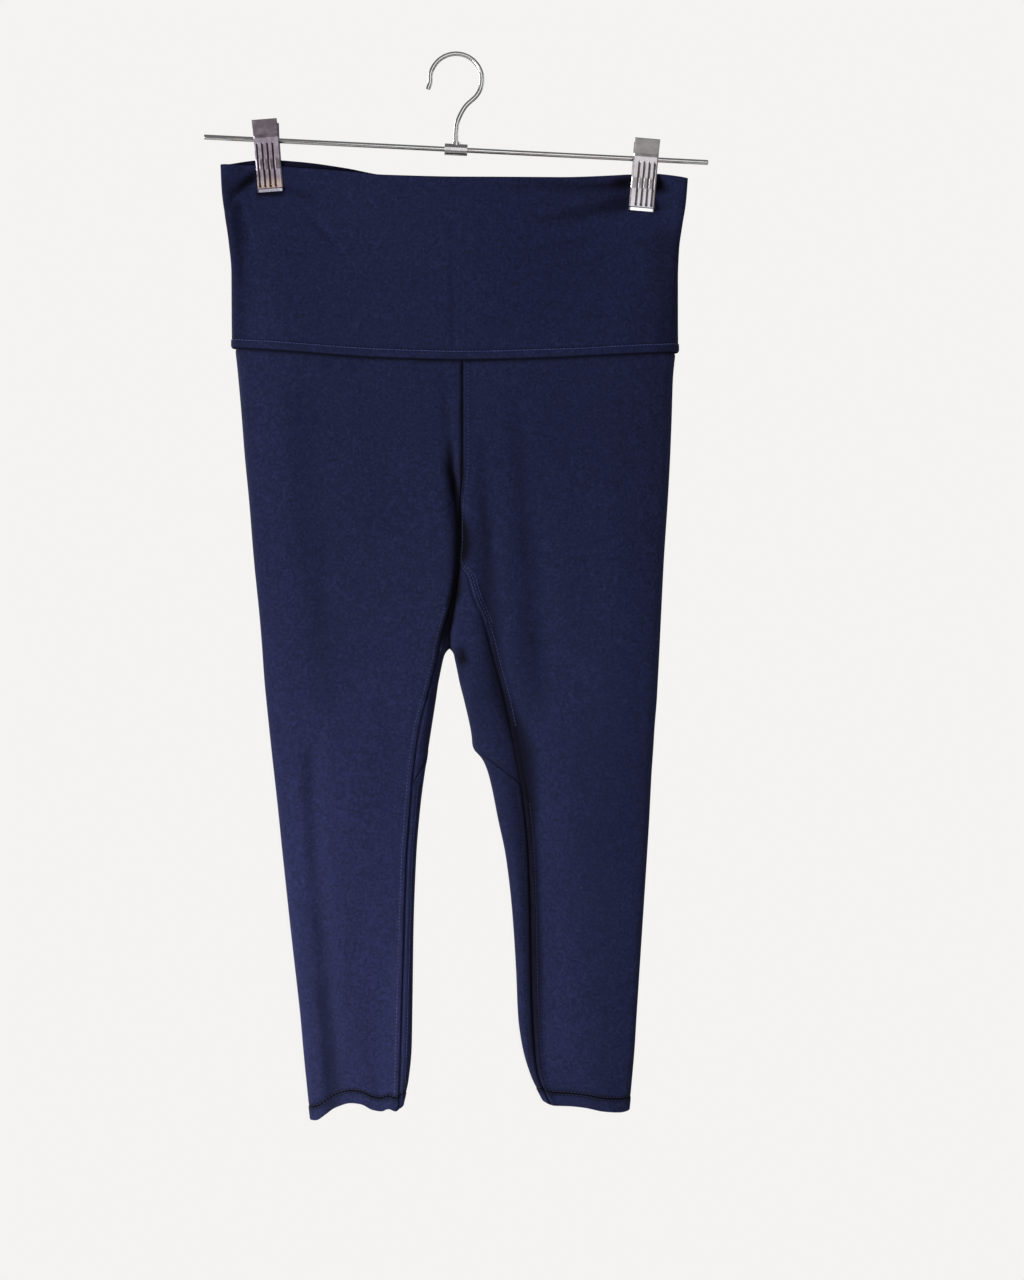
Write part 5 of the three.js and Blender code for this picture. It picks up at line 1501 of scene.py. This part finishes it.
def thread(name, base, light):
    """Twisted sewing thread."""
    m = Shader(name)
    place = m.place()
    wave = {"Vector": place, "Scale": 900.0, "Distortion": 1.5}
    twist = m.node("TexWave", wave, bands_direction="DIAGONAL").outputs["Fac"]
    shade = m.noise(place, 240.0)
    colour = m.blend(m.remap(shade, 0.3, 0.7), base, light)
    colour = m.blend(m.product(twist, 0.35), colour, base)
    roughness = m.remap(shade, 0.2, 0.8, 0.55, 0.7)
    return m.set(colour=colour, roughness=roughness, specular=0.3, normal=m.bump(twist, 0.00008, 0.6))


def plated(name, base, warm):
    """Polished plating with faint hairline rubs and a little haze."""
    m = Shader(name)
    haze = m.noise(m.place(), 60.0, 3.0)
    rubs = m.noise(m.scaled(m.place(), (900, 900, 60)), 1.0, 3.0, 0.7)
    colour = m.blend(m.remap(haze, 0.35, 0.7), base, warm)
    roughness = m.sway(m.remap(haze, 0.3, 0.7, 0.13, 0.24), rubs, 0.12)
    return m.set(colour=colour, roughness=roughness, metallic=1.0, normal=m.bump(rubs, 0.00002, 0.4))


def stamped(name, upper, lower, lip, groove):
    """A clip's stamped plate, its colours painted reflections: greyer towards its pivot, warmer
    below, with a painted highlight on its lip and painted shade in its grooves."""
    m = Shader(name)
    haze = m.noise(m.place(), 160.0, 3.0)
    rubs = m.noise(m.scaled(m.place(), (1500, 1500, 90)), 1.0, 3.0, 0.7)
    at_lip = m.mark("lip")
    # painted reflections: warmer towards the bottom, with hazy patches of the lip's bright colour
    colour = m.blend(m.mark("low"), upper, lower)
    colour = m.blend(m.remap(haze, 0.35, 0.7, 0.0, 0.35), colour, lip)
    colour = m.blend(m.remap(rubs, 0.45, 0.7, 0.0, 0.3), colour, upper)
    # a painted highlight on the lip
    colour = m.blend(at_lip, colour, lip)
    # painted shade in the grooves
    colour = m.blend(m.product(m.mark("pressed"), 0.94), colour, groove)
    roughness = m.math("MULTIPLY_ADD", rubs, 0.14, m.remap(haze, 0.3, 0.7, 0.22, 0.3))
    roughness = m.math("MULTIPLY_ADD", at_lip, -0.14, roughness)
    return m.set(colour=colour, roughness=roughness, metallic=1.0, normal=m.bump(rubs, 0.00003, 0.5))


cloth_finish = jersey("navy_jersey", rgb(38, 42, 78), rgb(31, 36, 66), rgb(47, 51, 92), rgb(5, 6, 14))
thread_finish = thread("navy_thread", rgb(52, 57, 98), rgb(72, 78, 124))
bright_thread = thread("navy_thread_bright", rgb(60, 68, 118), rgb(84, 93, 146))
# painted shade: the hem's and the trough's thread is darker, as it lies in shade
painted_shade_thread = thread("navy_thread_dark", rgb(26, 29, 54), rgb(34, 38, 70))
THREADS = {"waist": bright_thread, "hem": painted_shade_thread, "trough": painted_shade_thread}
metal_finish = plated("clip_plating", (0.8, 0.79, 0.78, 1), (0.76, 0.7, 0.67, 1))
# The plates' colours, and the difference between the two clips, are painted reflections, with a painted
# highlight on each lip and painted shade in each groove.
PLATES = {
    "right": stamped(
        "clip_plate_mauve", rgb(150, 136, 146), rgb(206, 180, 160), rgb(236, 228, 246), rgb(26, 14, 18)
    ),
    "left": stamped(
        "clip_plate_pale", rgb(205, 196, 198), rgb(222, 214, 222), rgb(255, 255, 255), rgb(88, 78, 84)
    ),
}

# ---------------------------------------------------------------- putting it together


def finish(obj, material):
    obj.data.materials.clear()
    obj.data.materials.append(material)


def dress(obj, material, slot, *nodes):
    finish(obj, material)
    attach(obj, "root")
    if nodes:
        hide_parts(*nodes)


for node, piece in cloth_pieces.items():
    dress(piece, cloth_finish, "jersey", node)
    for line in sewing[node]:
        dress(line, THREADS.get(line.name.split("_")[0], thread_finish), "jersey")
dress(bar, metal_finish, "hanger_metal", "hanger_bar")
dress(hook, metal_finish, "hanger_metal", "hanger_hook")
for (side, face), plate in jaws.items():
    dress(plate, PLATES[side], "hanger_metal", f"clip_{side}_{face}_jaw")

# The pivots and the ferrule stay the CAD's own, with their edges eased.
for name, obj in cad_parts.items():
    if name.endswith("_pivot") or name == "hook_ferrule":
        finish(obj, metal_finish)
        edge = obj.modifiers.new("edges", "BEVEL")
        edge.width, edge.segments, edge.limit_method = 0.15 * MM, 2, "ANGLE"
        edge.angle_limit = math.radians(40)
        obj.data.shade_smooth()
        obj.data.set_sharp_from_angle(angle=math.radians(35))

# The cut of each piece in metres: its length and width laid flat and, where it isn't a plain
# rectangle, its area.
CUT = {
    "waistband_front": ((0.388, 0.148), None),
    "waistband_back": ((0.388, 0.15), None),
    "leg_right": ((0.36, 0.612), 0.1726),
    "leg_left": ((0.36, 0.606), 0.1735),
    "gusset": ((0.145, 0.18), 0.0152),
}
for node, (flat, area) in CUT.items():
    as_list(sewing[node])

# ---------------------------------------------------------------- floor, light and camera

VIEW_CENTRE = Vector((0.0448, 0, -0.4672))
VIEW_DISTANCE = 2.6
VIEW_HEIGHT = 1.024
FLOOR = SimpleNamespace(height=-1900, reach=4500, glow=0.85)
PALE = rgb(250, 249, 247)

corners = [(x * FLOOR.reach, y * FLOOR.reach, FLOOR.height) for x, y in ((-1, -1), (1, -1), (1, 1), (-1, 1))]
floor = make_object("studio_floor", corners, [[0, 1, 2, 3]])
paint = Shader("floor_paint")
mottle = paint.noise(paint.place(), 3.0)
paint.set(colour=paint.blend(mottle, (0.8, 0.79, 0.77, 1), (0.84, 0.83, 0.81, 1)), roughness=0.9)
# The camera sees it almost as pale as the backdrop, and what it reflects stays soft.
seen = paint.product(paint.node("LightPath").outputs["Is Camera Ray"], FLOOR.glow)
glow = paint.node("Emission", {"Color": PALE})
mixed = paint.node("MixShader", {0: seen, 1: paint.surface.outputs[0], 2: glow.outputs[0]})
output = next(n for n in paint.tree.nodes if n.type == "OUTPUT_MATERIAL")
paint.put(output.inputs["Surface"], mixed.outputs[0])
finish(floor, paint.material)
floor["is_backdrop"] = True


def soft_light(name, place, target, size, energy, colour, spread=180):
    data = bpy.data.lights.new(name, "AREA")
    data.shape, data.size, data.energy, data.color = "DISK", size, energy, colour
    data.spread = math.radians(spread)
    lamp = bpy.data.objects.new(name, data)
    lamp.location = place
    lamp.rotation_euler = (Vector(target) - Vector(place)).to_track_quat("-Z", "Y").to_euler()
    bpy.context.scene.collection.objects.link(lamp)


soft_light("key", (-1.5, -1.45, -0.66), (-0.05, 0, -0.42), 0.8, 22.6, (1, 0.99, 0.97))
soft_light("low", (-1.15, -1.25, -1.15), (-0.165, 0, -0.82), 0.4, 0.5, (1, 0.99, 0.98), 24)
soft_light("fill", (0.3, -2.7, 0.3), (0, 0, -0.3), 1.8, 9, (0.97, 0.98, 1))
soft_light("side", (2.4, 0.5, 0.1), (0.15, 0, -0.45), 1.4, 5, (0.98, 0.99, 1))
soft_light("back", (-1.5, 1.9, 0.2), (0, 0, -0.45), 1.2, 26, (1, 1, 1))

# A pale backdrop that the camera sees, and a dimmer, cooler surround that lights the part.
world = bpy.data.worlds.new("studio")
bpy.context.scene.world = world
world.use_nodes = True
tree = world.node_tree
backdrop = tree.nodes["Background"]
backdrop.inputs["Color"].default_value = rgb(244, 243, 241)
surround = tree.nodes.new("ShaderNodeBackground")
surround.inputs["Color"].default_value = (0.92, 0.95, 1, 1)
surround.inputs["Strength"].default_value = 0.16
chooser = tree.nodes.new("ShaderNodeMixShader")
tree.links.new(tree.nodes.new("ShaderNodeLightPath").outputs["Is Camera Ray"], chooser.inputs[0])
tree.links.new(surround.outputs[0], chooser.inputs[1])
tree.links.new(backdrop.outputs[0], chooser.inputs[2])
tree.links.new(chooser.outputs[0], tree.nodes["World Output"].inputs["Surface"])
bpy.context.scene.view_settings.view_transform = "Standard"
bpy.context.scene.view_settings.look = "None"

camera_data = bpy.data.cameras.new("camera")
camera_data.lens = camera_data.sensor_width * VIEW_DISTANCE / VIEW_HEIGHT
camera = bpy.data.objects.new("camera", camera_data)
camera.location = VIEW_CENTRE - Vector((0, VIEW_DISTANCE, 0))
camera.rotation_euler = (math.radians(90), 0, 0)
bpy.context.scene.collection.objects.link(camera)
bpy.context.scene.camera = camera

visual_low, visual_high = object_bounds()
boxes = {"cad": (cad_low, cad_high), "visual": (visual_low, visual_high)}
{name: [list(low), list(high)] for name, (low, high) in boxes.items()}
